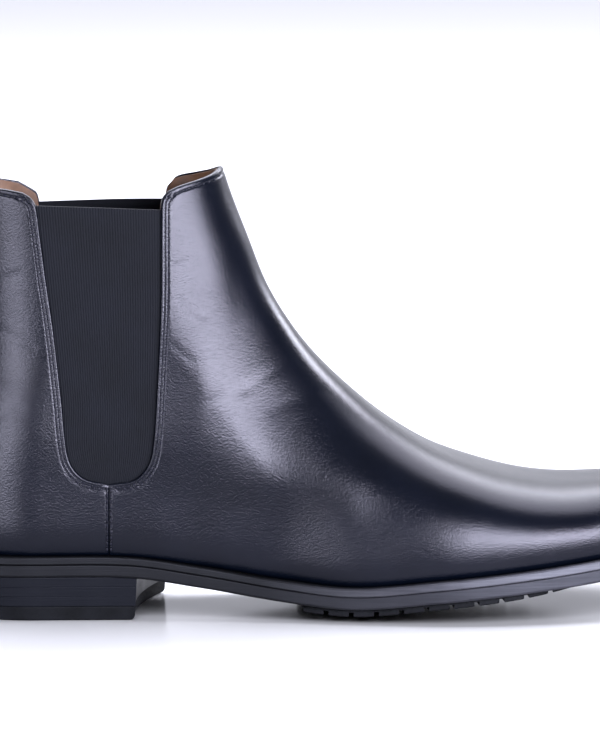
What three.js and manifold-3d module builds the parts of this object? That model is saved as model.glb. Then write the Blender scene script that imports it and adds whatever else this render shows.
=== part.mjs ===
// A right-foot chelsea boot, size EU 43, as an assembly of its separate pieces.
//
// Frame: millimetres, +X towards the toe, +Y towards the inner (medial) side, +Z up.
// The boot stands on z = 0 and the origin is the middle of its footprint.
//
// The upper is one smooth "last" surface. Its half width is a function of the place in the side
// view (x, z), and falls to zero along the back line and along the front ridge. Every leather,
// elastic and lining piece is a sheet of that surface, moved inwards by its depth in the stack.

import * as THREE from "three";
import { mergeVertices } from "three/addons/utils/BufferGeometryUtils.js";
import Module from "manifold-3d";

const wasm = await Module();
wasm.setup();

// ---------------------------------------------------------------- driving dimensions (mm)

const SOLE_LENGTH = 304;
const SOLE_EDGE = 4.6; // thickness of the outsole at its edge
const WELT_THICKNESS = 2.7;
const GAP = 0.3; // air left between touching pieces

const HEEL_HEIGHT = 16; // floor to outsole, under the heel
const TOP_PIECE_THICKNESS = 5.5;
const LIFT_COUNT = 3;
const BREAST_X = 81; // front face of the heel, on the centre line
const BREAST_SKEW = 0.15; // forward shift of the breast per mm towards the inner side
const BREAST_HOLLOW = 3; // depth of the breast's hollow

const HEEL_ROUND = 38; // length over which the heel end of the outline rounds off
const TOE_START = 205; // where the toe end of the outline starts to round off

const FEATHER_INSET_HEEL = 2.5; // outsole edge to upper, at the heel
const FEATHER_INSET_TOE = 5.5; // the same at the forepart
const UPPER_BULGE = 1.5; // how far the upper swells out above the welt

const LEATHER = 1.5; // thickness of the outer leather
const MIDDLE = 1.2; // thickness of elastic and stiffeners
const LINING = 1.0;
const TOE_PUFF = 0.8;
const MIDDLE_DEPTH = LEATHER + GAP;
const LINING_DEPTH = MIDDLE_DEPTH + MIDDLE + GAP;
const STACK = LINING_DEPTH + LINING;

const INSOLE_THICKNESS = 2.5;
const PAD_THICKNESS = 2;
const SOCK_THICKNESS = 1;

const TREAD_BASE = 0.8;
const LUG_HEIGHT = 1.1;
const LUG_LENGTH = 7.2;
const LUG_GAP = 1.8;
const TREAD_START = 137;
const TREAD_END = 291;
const TREAD_INSET = 4.5;

const NAIL_RADIUS = 1;
const NAIL_HOLE_RADIUS = 1.35;

const GORE_MARGIN = 5; // how far the elastic runs on under the leather

// ---------------------------------------------------------------- curves

const clamp = (value, low, high) => Math.min(Math.max(value, low), high);
const mix = (a, b, t) => a + (b - a) * t;

function smoothStep(t) {
  const c = clamp(t, 0, 1);
  return c * c * (3 - 2 * c);
}

// A smooth function through [position, value] pairs, straight beyond its ends.
function through(pairs) {
  const last = pairs.length - 1;
  const slope = pairs.map((_, i) => {
    const a = pairs[Math.max(i - 1, 0)];
    const b = pairs[Math.min(i + 1, last)];
    return (b[1] - a[1]) / (b[0] - a[0]);
  });
  return (x) => {
    if (x <= pairs[0][0]) return pairs[0][1] + slope[0] * (x - pairs[0][0]);
    if (x >= pairs[last][0]) return pairs[last][1] + slope[last] * (x - pairs[last][0]);
    let i = 0;
    while (x > pairs[i + 1][0]) i += 1;
    const width = pairs[i + 1][0] - pairs[i][0];
    const t = (x - pairs[i][0]) / width;
    const rise = pairs[i + 1][1] - pairs[i][1];
    const a = slope[i] * width - rise;
    const b = rise - slope[i + 1] * width;
    return mix(pairs[i][1], pairs[i + 1][1], t) + t * (1 - t) * (a * (1 - t) + b * t);
  };
}

// A smooth curve through side-view points, as a function of 0..1 along its length.
function sideCurve(points) {
  const along = [0];
  for (let i = 1; i < points.length; i += 1) {
    const step = Math.hypot(points[i][0] - points[i - 1][0], points[i][1] - points[i - 1][1]);
    along.push(along[i - 1] + step);
  }
  const total = along[along.length - 1];
  const x = through(points.map((p, i) => [along[i] / total, p[0]]));
  const z = through(points.map((p, i) => [along[i] / total, p[1]]));
  return (t) => [x(t), z(t)];
}

// ---------------------------------------------------------------- plan of the sole

// Half width of the sole, without its round ends, and its slightly bent centre line.
const fullHalfWidth = through([[0, 33.5], [45, 33.5], [85, 33], [120, 34.8], [160, 44.5], [200, 51], [304, 45]]);
const centreLine = through([[0, 0], [60, 0], [120, -1.8], [160, -0.5], [205, 2.5], [260, 8], [304, 12]]);

function halfWidth(x, inset) {
  const toe = SOLE_LENGTH - inset;
  const heelPart = clamp((HEEL_ROUND - (x - inset)) / HEEL_ROUND, 0, 1);
  const toePart = clamp((x - TOE_START) / (toe - TOE_START), 0, 1);
  return (fullHalfWidth(x) - inset) * Math.sqrt(1 - heelPart ** 2) * Math.sqrt(1 - toePart ** 2);
}

// Height of the outsole's lower edge, and how much lower its middle bulges.
const soleEdge = through([
  [0, HEEL_HEIGHT], [40, HEEL_HEIGHT], [75, 15.6], [100, 12.1], [128, 7.6],
  [155, 5.2], [186, 8.1], [214, 10.9], [243, 14], [304, 22],
]);
const crown = through([[0, 0], [80, 0], [120, 2.4], [160, 4], [220, 4], [304, 0]]);

const outsoleTop = (x) => soleEdge(x) + SOLE_EDGE;
const weltTop = (x) => outsoleTop(x) + GAP + WELT_THICKNESS;
const featherLine = (x) => weltTop(x) + 2 * GAP;

// ---------------------------------------------------------------- the last surface

const featherInset = (x) => mix(FEATHER_INSET_HEEL, FEATHER_INSET_TOE, smoothStep((x - 75) / 60));

// Ridge points in the side view, from the front peak of the shaft down to the toe.
const RIDGE = [
  [108.7, 161], [112.2, 150], [117.2, 137], [124, 119.5], [131.5, 106.2], [141, 93.8],
  [154, 80.8], [168, 69.5], [184, 59.6], [200, 53.2], [218, 48.3], [234, 46.6], [256, 47.2],
];
const TOE_DROP_START = 255; // where the ridge starts to round down to the toe
const UPPER_TIP = SOLE_LENGTH - FEATHER_INSET_TOE;
const PEAK_SLOPE = 2.9; // fall of the ridge at the peak, per mm forward
const RIDGE_SEARCH_START = 60; // well behind the peak, where the line of the ridge is above the shaft
const VAMP_LOW_X = 234; // where the ridge is lowest, behind the toe

const ridgeHeight = through(RIDGE);

// Height of the upper's silhouette above x.
function topOfUpper(x) {
  if (x < RIDGE[0][0]) return RIDGE[0][1] + (RIDGE[0][0] - x) * PEAK_SLOPE;
  const base = featherLine(x);
  const t = clamp((x - TOE_DROP_START) / (UPPER_TIP - TOE_DROP_START), 0, 1);
  return base + (ridgeHeight(x) - base) * (1 - t ** 2.3) ** 0.5;
}

const PLACE_SEARCH_STEPS = 30;

// The x at which the silhouette comes down to height z, found by halving: it falls from the peak to the vamp.
function ridgePlace(z) {
  let low = RIDGE_SEARCH_START;
  let high = VAMP_LOW_X;
  for (let i = 0; i < PLACE_SEARCH_STEPS; i += 1) {
    const middle = (low + high) / 2;
    if (topOfUpper(middle) > z) low = middle;
    else high = middle;
  }
  return low;
}

const backLine = through([[24, 3], [36, 2], [52, 1.9], [74, 4.4], [97, 8], [120, 8.6], [160, 6.4]]);
const shaftHalfWidth = through([[24, 31], [60, 31.2], [95, 29], [130, 27.4], [161, 27]]);
const SHAFT_FRONT_ROUND = 42;
const SHAFT_BACK_ROUND = 40;
const INSTEP_ROUND = 62;

// Square of the upper's half width at (x, z). It passes smoothly through zero at the silhouette.
function widthSquared(x, z) {
  const inset = featherInset(x);
  const foot = featherLine(x);
  const height = topOfUpper(x) - foot;
  const toePart = clamp((x - TOE_START) / (UPPER_TIP - TOE_START), 0, 1);
  const shoe = (fullHalfWidth(x) - inset) * Math.sqrt(1 - toePart ** 2);
  const shaftShare = smoothStep((z - foot) / 55) * (1 - smoothStep((x - 95) / 60));
  const rise = Math.max(z - foot, 0) / 9;
  const bulge = UPPER_BULGE * rise * Math.exp(1 - rise) * smoothStep(height / 20);
  const full = mix(shoe, shaftHalfWidth(z), shaftShare) + bulge;

  const depthDown = topOfUpper(x) - z;
  const round = height * INSTEP_ROUND / (height ** 4 + INSTEP_ROUND ** 4) ** 0.25;
  const acrossShare = 1 - smoothStep((x - 120) / 90);
  const depthAcross = ridgePlace(z) - x;
  let front = depthDown / Math.max(round, 0.01);
  if (acrossShare > 0 && front > 0) {
    const across = Math.max(depthAcross, 1e-6) / (SHAFT_FRONT_ROUND * acrossShare);
    front = 1 / Math.hypot(1 / front, 1 / across);
  }
  const back = (x - backLine(z)) / SHAFT_BACK_ROUND;
  const part = (t) => (t >= 1 ? 1 : 1 - (1 - t) ** 2);
  return full * full * part(front) * part(back);
}

const RIDGE_SHIFT = 3; // the ridge lies this much to the inner side of the outline's middle

function middleY(x, z) {
  const foot = featherLine(x);
  const share = clamp((z - foot) / Math.max(topOfUpper(x) - foot, 1), 0, 1);
  return centreLine(x) + RIDGE_SHIFT * smoothStep((x - 110) / 60) * share;
}

// A point of the upper, `depth` mm inside its outer face. side is -1 (outer side) or +1.
function upperPoint(x, z, side, depth) {
  const h = 0.05;
  const width = Math.sqrt(Math.max(widthSquared(x, z), 0));
  const normal = new THREE.Vector3(
    -(widthSquared(x + h, z) - widthSquared(x - h, z)) / (2 * h),
    2 * side * width,
    -(widthSquared(x, z + h) - widthSquared(x, z - h)) / (2 * h),
  ).normalize();
  const point = new THREE.Vector3(x, middleY(x, z) + side * width, z);
  return point.addScaledVector(normal, -depth);
}

// ---------------------------------------------------------------- solids from sheets

function geometryFrom(positions, index) {
  const geometry = new THREE.BufferGeometry();
  geometry.setAttribute("position", new THREE.Float32BufferAttribute(positions, 3));
  geometry.setIndex(index);
  return geometry;
}

// Merges equal corners and drops the triangles that this leaves without area.
function welded(geometry) {
  const merged = mergeVertices(geometry, 1e-3);
  const index = merged.index.array;
  const kept = [];
  for (let i = 0; i < index.length; i += 3) {
    const [a, b, c] = [index[i], index[i + 1], index[i + 2]];
    if (a !== b && b !== c && c !== a) kept.push(a, b, c);
  }
  merged.setIndex(kept);
  return merged;
}

// Signed volume of a closed mesh.
function signedVolume(geometry) {
  const p = geometry.attributes.position;
  const index = geometry.index.array;
  const a = new THREE.Vector3();
  const b = new THREE.Vector3();
  const c = new THREE.Vector3();
  let sum = 0;
  for (let i = 0; i < index.length; i += 3) {
    a.fromBufferAttribute(p, index[i]);
    b.fromBufferAttribute(p, index[i + 1]);
    c.fromBufferAttribute(p, index[i + 2]);
    sum += a.dot(b.cross(c)) / 6;
  }
  return sum;
}

// The closed solid between two grids of points with the same rows and columns.
// With `closed`, the last column joins the first one, as on a ring.
function solidBetween(faceA, faceB, closed = false) {
  const rows = faceA.length;
  const columns = faceA[0].length;
  const positions = [];
  for (const face of [faceA, faceB]) {
    for (const row of face) {
      for (const p of row) positions.push(p.x, p.y, p.z);
    }
  }
  const at = (face, r, c) => (face * rows + r) * columns + (c % columns);
  const index = [];
  const quad = (a, b, c, d) => index.push(a, b, c, a, c, d);
  const spans = closed ? columns : columns - 1;
  for (let r = 0; r < rows - 1; r += 1) {
    for (let c = 0; c < spans; c += 1) {
      quad(at(0, r, c), at(0, r, c + 1), at(0, r + 1, c + 1), at(0, r + 1, c));
      quad(at(1, r, c), at(1, r + 1, c), at(1, r + 1, c + 1), at(1, r, c + 1));
    }
  }
  for (let c = 0; c < spans; c += 1) {
    quad(at(0, 0, c), at(1, 0, c), at(1, 0, c + 1), at(0, 0, c + 1));
    quad(at(0, rows - 1, c), at(0, rows - 1, c + 1), at(1, rows - 1, c + 1), at(1, rows - 1, c));
  }
  if (!closed) {
    for (let r = 0; r < rows - 1; r += 1) {
      quad(at(0, r, 0), at(0, r + 1, 0), at(1, r + 1, 0), at(1, r, 0));
      quad(at(0, r, columns - 1), at(1, r, columns - 1), at(1, r + 1, columns - 1), at(0, r + 1, columns - 1));
    }
  }
  const geometry = welded(geometryFrom(positions, index));
  if (signedVolume(geometry) < 0) {
    const order = Array.from(geometry.index.array);
    for (let i = 0; i < order.length; i += 3) [order[i + 1], order[i + 2]] = [order[i + 2], order[i + 1]];
    geometry.setIndex(order);
  }
  return geometry;
}

function toManifold(geometry) {
  const bare = geometry.clone();
  bare.deleteAttribute("normal");
  bare.deleteAttribute("uv");
  const merged = welded(bare);
  const mesh = new wasm.Mesh({
    numProp: 3,
    vertProperties: new Float32Array(merged.attributes.position.array),
    triVerts: new Uint32Array(merged.index.array),
  });
  return new wasm.Manifold(mesh);
}

function fromManifold(solid) {
  const mesh = solid.getMesh();
  return geometryFrom(Array.from(mesh.vertProperties), Array.from(mesh.triVerts));
}

const steps = (count) => Array.from({ length: count + 1 }, (_, i) => i / count);

// ---------------------------------------------------------------- side-view patches

// Fills the patch between four side-view curves: bottom and top run from the left curve to the
// right curve, and left and right run from the bottom to the top.
function patch(bottom, top, left, right) {
  const corner = [bottom(0), bottom(1), top(0), top(1)];
  return (s, t) => [0, 1].map((k) => {
    const rows = mix(bottom(t)[k], top(t)[k], s);
    const columns = mix(left(s)[k], right(s)[k], t);
    const bilinear = mix(mix(corner[0][k], corner[1][k], t), mix(corner[2][k], corner[3][k], t), s);
    return rows + columns - bilinear;
  });
}

const SEAM_X = 67; // the upright seam below the gore
const GORE_BACK = [
  [42.4, 150.4], [44.8, 123], [47.2, 105], [49.6, 80], [50.8, 65], [53, 56.6], [58, 51.6], [SEAM_X, 49.6],
];
const GORE_FRONT = [
  [85.8, 148.6], [85.7, 116], [84.9, 87], [83.6, 65], [81.6, 56], [76.5, 51.4], [SEAM_X, 49.6],
];
const PANEL_GAP = GAP / 2;

// The gore edges from the feather line upwards, moved by `shift` away from the gore.
const seamCorner = (x, z) => [0, 0.5, 0.8, 0.95].map((t) => [x, mix(featherLine(x), z, t)]);
const backQuarterEdge = (shift) => sideCurve([
  ...seamCorner(SEAM_X - PANEL_GAP, 49.6 - shift),
  ...GORE_BACK.slice().reverse().map(([x, z]) => [x - PANEL_GAP - shift * smoothStep((z - 49) / 6), z - shift * smoothStep((60 - z) / 8)]),
  [39.4 - shift, 154],
]);
const frontQuarterEdge = (shift) => sideCurve([
  ...seamCorner(SEAM_X + PANEL_GAP, 49.6 - shift),
  ...GORE_FRONT.slice().reverse().map(([x, z]) => [x + PANEL_GAP + shift * smoothStep((z - 49) / 6), z - shift * smoothStep((60 - z) / 8)]),
  [86.6 + shift, 152],
]);

const TOP_LINE_BACK = [[6.4, 157.6], [20, 157.2], [30, 156.4], [36, 155.6]];
const TOP_LINE_FRONT = [[88.4, 154.6], [93.1, 156.2], [100.4, 158], [105, 159.2], [108.7, 161]];

// Bottom edges of the two panels, following the welt.
const featherCurve = (from, to) => (t) => [mix(from, to, t), featherLine(mix(from, to, t))];

// The back line from the feather up to the top line.
function backCurve(top) {
  return (s) => {
    const z = mix(featherLine(3), top, s);
    return [backLine(z), z];
  };
}

// The silhouette from the toe tip over the ridge to the front peak.
function ridgeCurve() {
  const toe = steps(9).map((k) => UPPER_TIP - (UPPER_TIP - TOE_DROP_START) * (1 - Math.cos(k * Math.PI / 2)));
  const points = toe.map((x) => [x, topOfUpper(x)]);
  const curve = sideCurve([...points, ...RIDGE.slice(0, -1).reverse()]);
  return (t) => [curve(t)[0], topOfUpper(curve(t)[0])];
}

// Points crowd towards the ridge or the back line, where the surface turns round.
const towardsEdge = (t) => Math.sin(t * Math.PI / 2);

const quarterPatch = (shift, topShift) => {
  const edge = backQuarterEdge(shift);
  const top = sideCurve([...TOP_LINE_BACK.map(([x, z]) => [x, z - topShift]), [edge(1)[0], edge(1)[1] - topShift]]);
  const right = (s) => [edge(s)[0], edge(s)[1] - topShift * s];
  return patch(featherCurve(backLine(featherLine(3)), SEAM_X - PANEL_GAP), top, backCurve(TOP_LINE_BACK[0][1] - topShift), right);
};

const frontPatch = (shift, topShift) => {
  const edge = frontQuarterEdge(shift);
  const top = sideCurve([
    [edge(1)[0], edge(1)[1] - topShift],
    ...TOP_LINE_FRONT.map(([x, z]) => [x, z - topShift]).filter((p) => p[0] > edge(1)[0] + 1),
  ]);
  const ridge = ridgeCurve();
  const left = (s) => [edge(s)[0], edge(s)[1] - topShift * s];
  const right = (s) => [ridge(s)[0], ridge(s)[1] - topShift * s];
  return patch(featherCurve(SEAM_X + PANEL_GAP, UPPER_TIP), top, left, right);
};

// Two faces of a sheet over a side-view patch, `depth` inside the outer face of the upper.
// Columns run from one side over the turn (back line or ridge) to the other side.
function wrappedSheet(place, rows, columns, depth, thickness) {
  const face = (d) => steps(rows).map((s) => {
    const sideOf = (side, t) => {
      const [x, z] = place(s, t);
      return upperPoint(x, z, side, d);
    };
    const outerSide = steps(columns).map((t) => sideOf(-1, t));
    const innerSide = steps(columns).map((t) => sideOf(1, t)).reverse();
    return [...outerSide, ...innerSide.slice(1)];
  });
  return solidBetween(face(depth), face(depth + thickness));
}

// The same on one side only. `clearance` keeps the sheet off the middle plane.
function sideSheet(place, rows, columns, depth, thickness, side, clearance = 0) {
  const face = (d) => steps(rows).map((s) => steps(columns).map((t) => {
    const [x, z] = place(s, t);
    const point = upperPoint(x, z, side, d);
    point.y = side * Math.max(side * point.y, clearance);
    return point;
  }));
  return solidBetween(face(depth), face(depth + thickness));
}

// ---------------------------------------------------------------- upper pieces

// Share of a panel's height for a share of its rows: they lie closer at the toe and round the elastic.
const rowPlace = through([[0, 0], [0.25, 0.18], [0.5, 0.37], [1, 1]]);
const ridgeLast = (place) => (s, t) => place(rowPlace(s), towardsEdge(t));
const backFirst = (place) => (s, t) => place(rowPlace(s), 1 - towardsEdge(1 - t));
const backLast = (place) => (s, t) => place(rowPlace(s), 1 - towardsEdge(t));

const FRONT_GRID = [28, 18];
const QUARTER_LINING_GRID = [20, 10];

const upperFront = () => wrappedSheet(ridgeLast(frontPatch(0, 0)), ...FRONT_GRID, 0, LEATHER);
const upperQuarter = (side) => sideSheet(backFirst(quarterPatch(0, 0)), 28, 10, 0, LEATHER, side, PANEL_GAP);
const liningFront = () => wrappedSheet(ridgeLast(frontPatch(1, 1)), 24, 14, LINING_DEPTH, LINING);
const liningQuarter = () => (
  wrappedSheet(backLast(quarterPatch(1, 1)), ...QUARTER_LINING_GRID, LINING_DEPTH, LINING)
);

// Elastic: a rounded panel that runs on under the leather on three sides.
function gore(side) {
  const margin = GORE_MARGIN;
  const back = sideCurve([
    [SEAM_X - 10, 50 - margin], [50.5 - margin, 62], [49.6 - margin, 80], [44.8 - margin, 123], [42.4 - margin, 150],
  ]);
  const front = sideCurve([
    [SEAM_X + 10, 50 - margin], [83.8 + margin, 62], [84.9 + margin, 87], [85.7 + margin, 116], [85.8 + margin, 148.4],
  ]);
  const place = (s, t) => {
    const a = back(s);
    const b = front(s);
    return [mix(a[0], b[0], t), mix(a[1], b[1], t)];
  };
  return sideSheet(place, 9, 8, MIDDLE_DEPTH, MIDDLE, side);
}

// A side-view outline pulled out across the whole width of the boot, to trim sheets with.
function acrossBoot(outline) {
  const shape = new THREE.Shape(outline.map(([x, z]) => new THREE.Vector2(x, z)));
  const block = new THREE.ExtrudeGeometry(shape, { depth: 200, bevelEnabled: false });
  block.translate(0, 0, -100);
  block.rotateX(Math.PI / 2);
  return toManifold(block);
}

// Stiffener round the heel: a layer behind the lining, trimmed to a quarter ellipse.
function heelCounter() {
  const foot = featherLine(3);
  const arc = steps(8).map((t) => t * Math.PI / 2);
  const outline = arc.map((angle) => [42 * Math.cos(angle), foot + GAP + 36 * Math.sin(angle)]);
  const layer = wrappedSheet(backLast(quarterPatch(1, 1)), ...QUARTER_LINING_GRID, MIDDLE_DEPTH, MIDDLE);
  return fromManifold(toManifold(layer).intersect(acrossBoot([...outline, [-5, foot + 36], [-5, foot + GAP]])));
}

// Stiffener over the toe: a layer under the front leather, trimmed to the toe.
function toePuff() {
  const layer = wrappedSheet(ridgeLast(frontPatch(0, 0)), ...FRONT_GRID, MIDDLE_DEPTH, TOE_PUFF);
  const outline = [[252, 0], [SOLE_LENGTH, 0], [SOLE_LENGTH, 80], [258, 80]];
  return fromManifold(toManifold(layer).intersect(acrossBoot(outline)));
}

// Leather strip laid over the back seam.
function backStrip() {
  const foot = featherLine(3) + GAP;
  const top = TOP_LINE_BACK[0][1] - 1;
  const face = (depth) => steps(12).map((s) => {
    const z = mix(foot, top, s);
    const halfSpan = mix(5, 8, s);
    const reach = (halfSpan / shaftHalfWidth(z)) ** 2 * SHAFT_BACK_ROUND / 2;
    const sideOf = (side, t) => upperPoint(backLine(z) + reach * t * t, z, side, depth);
    return [...steps(3).map((t) => sideOf(-1, 1 - t)), ...steps(3).slice(1).map((t) => sideOf(1, t))];
  });
  return solidBetween(face(-GAP - 1.2), face(-GAP));
}

// Woven loop inside the back of the opening, standing up above the top line.
function pullTab() {
  const inside = (z) => backLine(z) + STACK + 0.9;
  const path = [
    [inside(132), 132], [inside(145), 145], [inside(157), 157], [inside(157) - 1.2, 167], [inside(157) - 4, 171],
  ];
  const curve = sideCurve(path);
  const halfWidthOfTab = 9;
  const face = (offset) => steps(8).map((s) => {
    const [x, z] = curve(s);
    const before = curve(Math.max(s - 0.01, 0));
    const after = curve(Math.min(s + 0.01, 1));
    const length = Math.hypot(after[0] - before[0], after[1] - before[1]);
    const nx = (after[1] - before[1]) / length;
    const nz = -(after[0] - before[0]) / length;
    const bow = (y) => 0.034 * y * y;
    return steps(4).map((t) => {
      const y = mix(-halfWidthOfTab, halfWidthOfTab, t);
      return new THREE.Vector3(x + nx * offset + bow(y), y, z + nz * offset);
    });
  });
  return solidBetween(face(0), face(1.6));
}

// ---------------------------------------------------------------- sole pieces

// A plate that follows the sole's outline at `inset`, between two heights given over (x, s),
// where s runs from -1 at the outer edge to +1 at the inner edge.
function plate({ inset, from, to, rows, columns, low, high }) {
  const start = Math.max(from ?? inset, inset);
  const end = Math.min(to ?? SOLE_LENGTH - inset, SOLE_LENGTH - inset);
  const roundHeel = start === inset;
  const roundToe = end === SOLE_LENGTH - inset;
  const along = (t) => {
    if (roundHeel && roundToe) return (1 - Math.cos(t * Math.PI)) / 2;
    if (roundHeel) return 1 - Math.cos(t * Math.PI / 2);
    if (roundToe) return Math.sin(t * Math.PI / 2);
    return t;
  };
  const face = (height) => steps(rows).map((t) => {
    const x = mix(start, end, along(t));
    return steps(columns).map((k) => {
      const s = mix(-1, 1, k);
      return new THREE.Vector3(x, centreLine(x) + s * halfWidth(x, inset), height(x, s));
    });
  });
  return solidBetween(face(low), face(high));
}

// Lower face of the outsole. It bulges down in the middle, but leaves room for the tread.
const TREAD_DEPTH = GAP + 0.1 + TREAD_BASE + LUG_HEIGHT;
const soleBottom = (x, s) => Math.max(soleEdge(x) - crown(x) * (1 - s * s), TREAD_DEPTH);

const outsole = (extra = 0) => plate({
  inset: 0, rows: 34, columns: 6,
  low: (x, s) => soleBottom(x, s) - extra,
  high: outsoleTop,
});

const WELT_WIDTH_TOE = FEATHER_INSET_TOE + STACK + 0.8;
const WELT_WIDTH_HEEL = FEATHER_INSET_HEEL + STACK + 0.8;
const weltInner = (x) => mix(WELT_WIDTH_HEEL, WELT_WIDTH_TOE, smoothStep((x - 75) / 60));

// A closed loop of points round the outline at an inset that may vary along the boot.
function outlineLoop(insetAt, heightAt, count) {
  const first = insetAt(0);
  const last = SOLE_LENGTH - insetAt(SOLE_LENGTH);
  const side = (sign) => steps(count).map((t) => {
    const x = mix(first, last, (1 - Math.cos(t * Math.PI)) / 2);
    const blend = mix(halfWidth(x, first), halfWidth(x, insetAt(SOLE_LENGTH)), smoothStep((x - 75) / 60));
    return new THREE.Vector3(x, centreLine(x) + sign * blend, heightAt(x));
  });
  return [...side(-1), ...side(1).reverse().slice(1, -1)];
}

function welt() {
  const low = (x) => outsoleTop(x) + GAP;
  const outer = [outlineLoop(() => 0.2, low, 26), outlineLoop(() => 0.2, weltTop, 26)];
  const inner = [outlineLoop(weltInner, low, 26), outlineLoop(weltInner, weltTop, 26)];
  return solidBetween(outer, inner, true);
}

const FILLER_INSET = WELT_WIDTH_TOE + 2 * GAP;
const INSOLE_INSET = FEATHER_INSET_TOE + STACK + 2.2;

const insoleBottom = (x) => weltTop(x) + GAP;
const insoleTop = (x) => insoleBottom(x) + INSOLE_THICKNESS;
const padTop = (x) => insoleTop(x) + GAP + PAD_THICKNESS * (1 - smoothStep((x - 45) / 32));
const sockBottom = (x) => padTop(x) + GAP;

const insoleBoard = () => plate({
  inset: INSOLE_INSET, rows: 22, columns: 2, low: insoleBottom, high: insoleTop,
});
const heelPad = () => plate({
  inset: INSOLE_INSET + 1, to: 72, rows: 8, columns: 2,
  low: (x) => insoleTop(x) + GAP, high: (x) => padTop(x) + 0.05,
});
const sockLiner = () => plate({
  inset: INSOLE_INSET + 2.2, rows: 26, columns: 2,
  low: (x) => sockBottom(x) + 0.1, high: (x) => sockBottom(x) + SOCK_THICKNESS,
});

const SHANK = { from: 62, to: 148, halfWidth: 6.5, thickness: 1.1 };

function shankStrip(grow) {
  const low = (x) => weltTop(x) - SHANK.thickness - 0.2 - grow;
  const high = (x) => weltTop(x) - 0.2 + grow;
  const face = (height) => steps(10).map((t) => {
    const x = mix(SHANK.from - grow, SHANK.to + grow, t);
    return [-1, 1].map((sign) => {
      const y = centreLine(x) + sign * (SHANK.halfWidth + grow);
      return new THREE.Vector3(x, y, height(x));
    });
  });
  return solidBetween(face(low), face(high));
}

// Cork filler inside the welt, with the bed of the steel shank cut out of it.
function corkFiller() {
  const filler = plate({
    inset: FILLER_INSET, rows: 20, columns: 2,
    low: (x) => outsoleTop(x) + GAP, high: weltTop,
  });
  return fromManifold(toManifold(filler).subtract(toManifold(shankStrip(GAP))));
}

// Studded rubber under the ball and toe: a thin base with lugs across it.
function forepartTread() {
  const pitch = LUG_LENGTH + LUG_GAP;
  const count = Math.floor((TREAD_END - TREAD_START + LUG_GAP) / pitch);
  const stations = [];
  for (let i = 0; i < count; i += 1) {
    const start = TREAD_START + i * pitch;
    stations.push([start, LUG_HEIGHT], [start + LUG_LENGTH, LUG_HEIGHT]);
    if (i < count - 1) stations.push([start + LUG_LENGTH + 0.2, 0], [start + pitch - 0.2, 0]);
  }
  const face = (heightOf) => stations.map(([x, lug]) => steps(6).map((k) => {
    const s = mix(-1, 1, k);
    return new THREE.Vector3(x, centreLine(x) + s * halfWidth(x, TREAD_INSET), heightOf(x, s, lug));
  }));
  const top = (x, s) => soleBottom(x, s * halfWidth(x, TREAD_INSET) / halfWidth(x, 0)) - 0.1 - GAP;
  const bottom = (x, s, lug) => top(x, s) - TREAD_BASE - lug;
  return solidBetween(face(bottom), face(top));
}

// ---------------------------------------------------------------- heel pieces

// Heel outline: the sole's round back, cut by the skewed and hollow breast.
function heelLayer(low, high, insetLow, insetHigh) {
  const face = (z, inset) => steps(10).map((t) => steps(6).map((k) => {
    const s = mix(-1, 1, k);
    const front = BREAST_X + BREAST_SKEW * s * 32 - BREAST_HOLLOW * (1 - s * s) - inset * 0.4;
    const x = mix(inset, front, 1 - Math.cos(t * Math.PI / 2));
    return new THREE.Vector3(x, centreLine(x) + s * halfWidth(x, inset), z);
  }));
  return solidBetween(face(low, insetLow), face(high, insetHigh));
}

const NAIL_PLACES = [[20, 0], [34, -17], [34, 17], [60, -18], [60, 18]];
const HEEL_TAPER = 0.13; // inward slope of the heel's wall per mm down
const heelInset = (z) => 0.6 + HEEL_TAPER * (HEEL_HEIGHT - z);

function nailShape(place, radius, low, high) {
  const nail = new THREE.CylinderGeometry(radius, radius, high - low, 8);
  nail.rotateX(Math.PI / 2);
  nail.translate(place[0], place[1], (low + high) / 2);
  return nail;
}

function heelLift(number) {
  const room = HEEL_HEIGHT - TOP_PIECE_THICKNESS;
  const high = HEEL_HEIGHT - GAP - number * room / LIFT_COUNT;
  const low = HEEL_HEIGHT - (number + 1) * room / LIFT_COUNT;
  let solid = toManifold(heelLayer(low, high, heelInset(low), heelInset(high)));
  solid = solid.subtract(toManifold(outsole(GAP)));
  for (const place of NAIL_PLACES) {
    const hole = nailShape(place, NAIL_HOLE_RADIUS, low - 1, high + 1);
    solid = solid.subtract(toManifold(hole));
  }
  return fromManifold(solid);
}

function topPiece() {
  const high = TOP_PIECE_THICKNESS - GAP;
  return heelLayer(0, high, heelInset(0), heelInset(high));
}

function heelNail(place) {
  return nailShape(place, NAIL_RADIUS, TOP_PIECE_THICKNESS, HEEL_HEIGHT - GAP);
}

// ---------------------------------------------------------------- materials

function finish(color, roughness, metalness = 0) {
  return new THREE.MeshStandardMaterial({ color, roughness, metalness });
}

const leatherBlack = () => finish(0x15161c, 0.34);
const elasticBlack = () => finish(0x1c1e26, 0.85);
const liningTan = () => finish(0x9a744c, 0.7);
const rubberBlack = () => finish(0x1d1e22, 0.75);
const soleEdgeBlack = () => finish(0x24262e, 0.5);
const boardBrown = () => finish(0xa5855c, 0.85);
const corkBrown = () => finish(0xb58a5a, 0.95);
const steelGrey = () => finish(0x8d9096, 0.35, 1);
const feltGrey = () => finish(0x6d6a66, 0.95);

// ---------------------------------------------------------------- assembly

const boot = new THREE.Group();

function add(name, geometry, material) {
  const mesh = new THREE.Mesh(geometry, material);
  mesh.name = name;
  boot.add(mesh);
}

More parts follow.
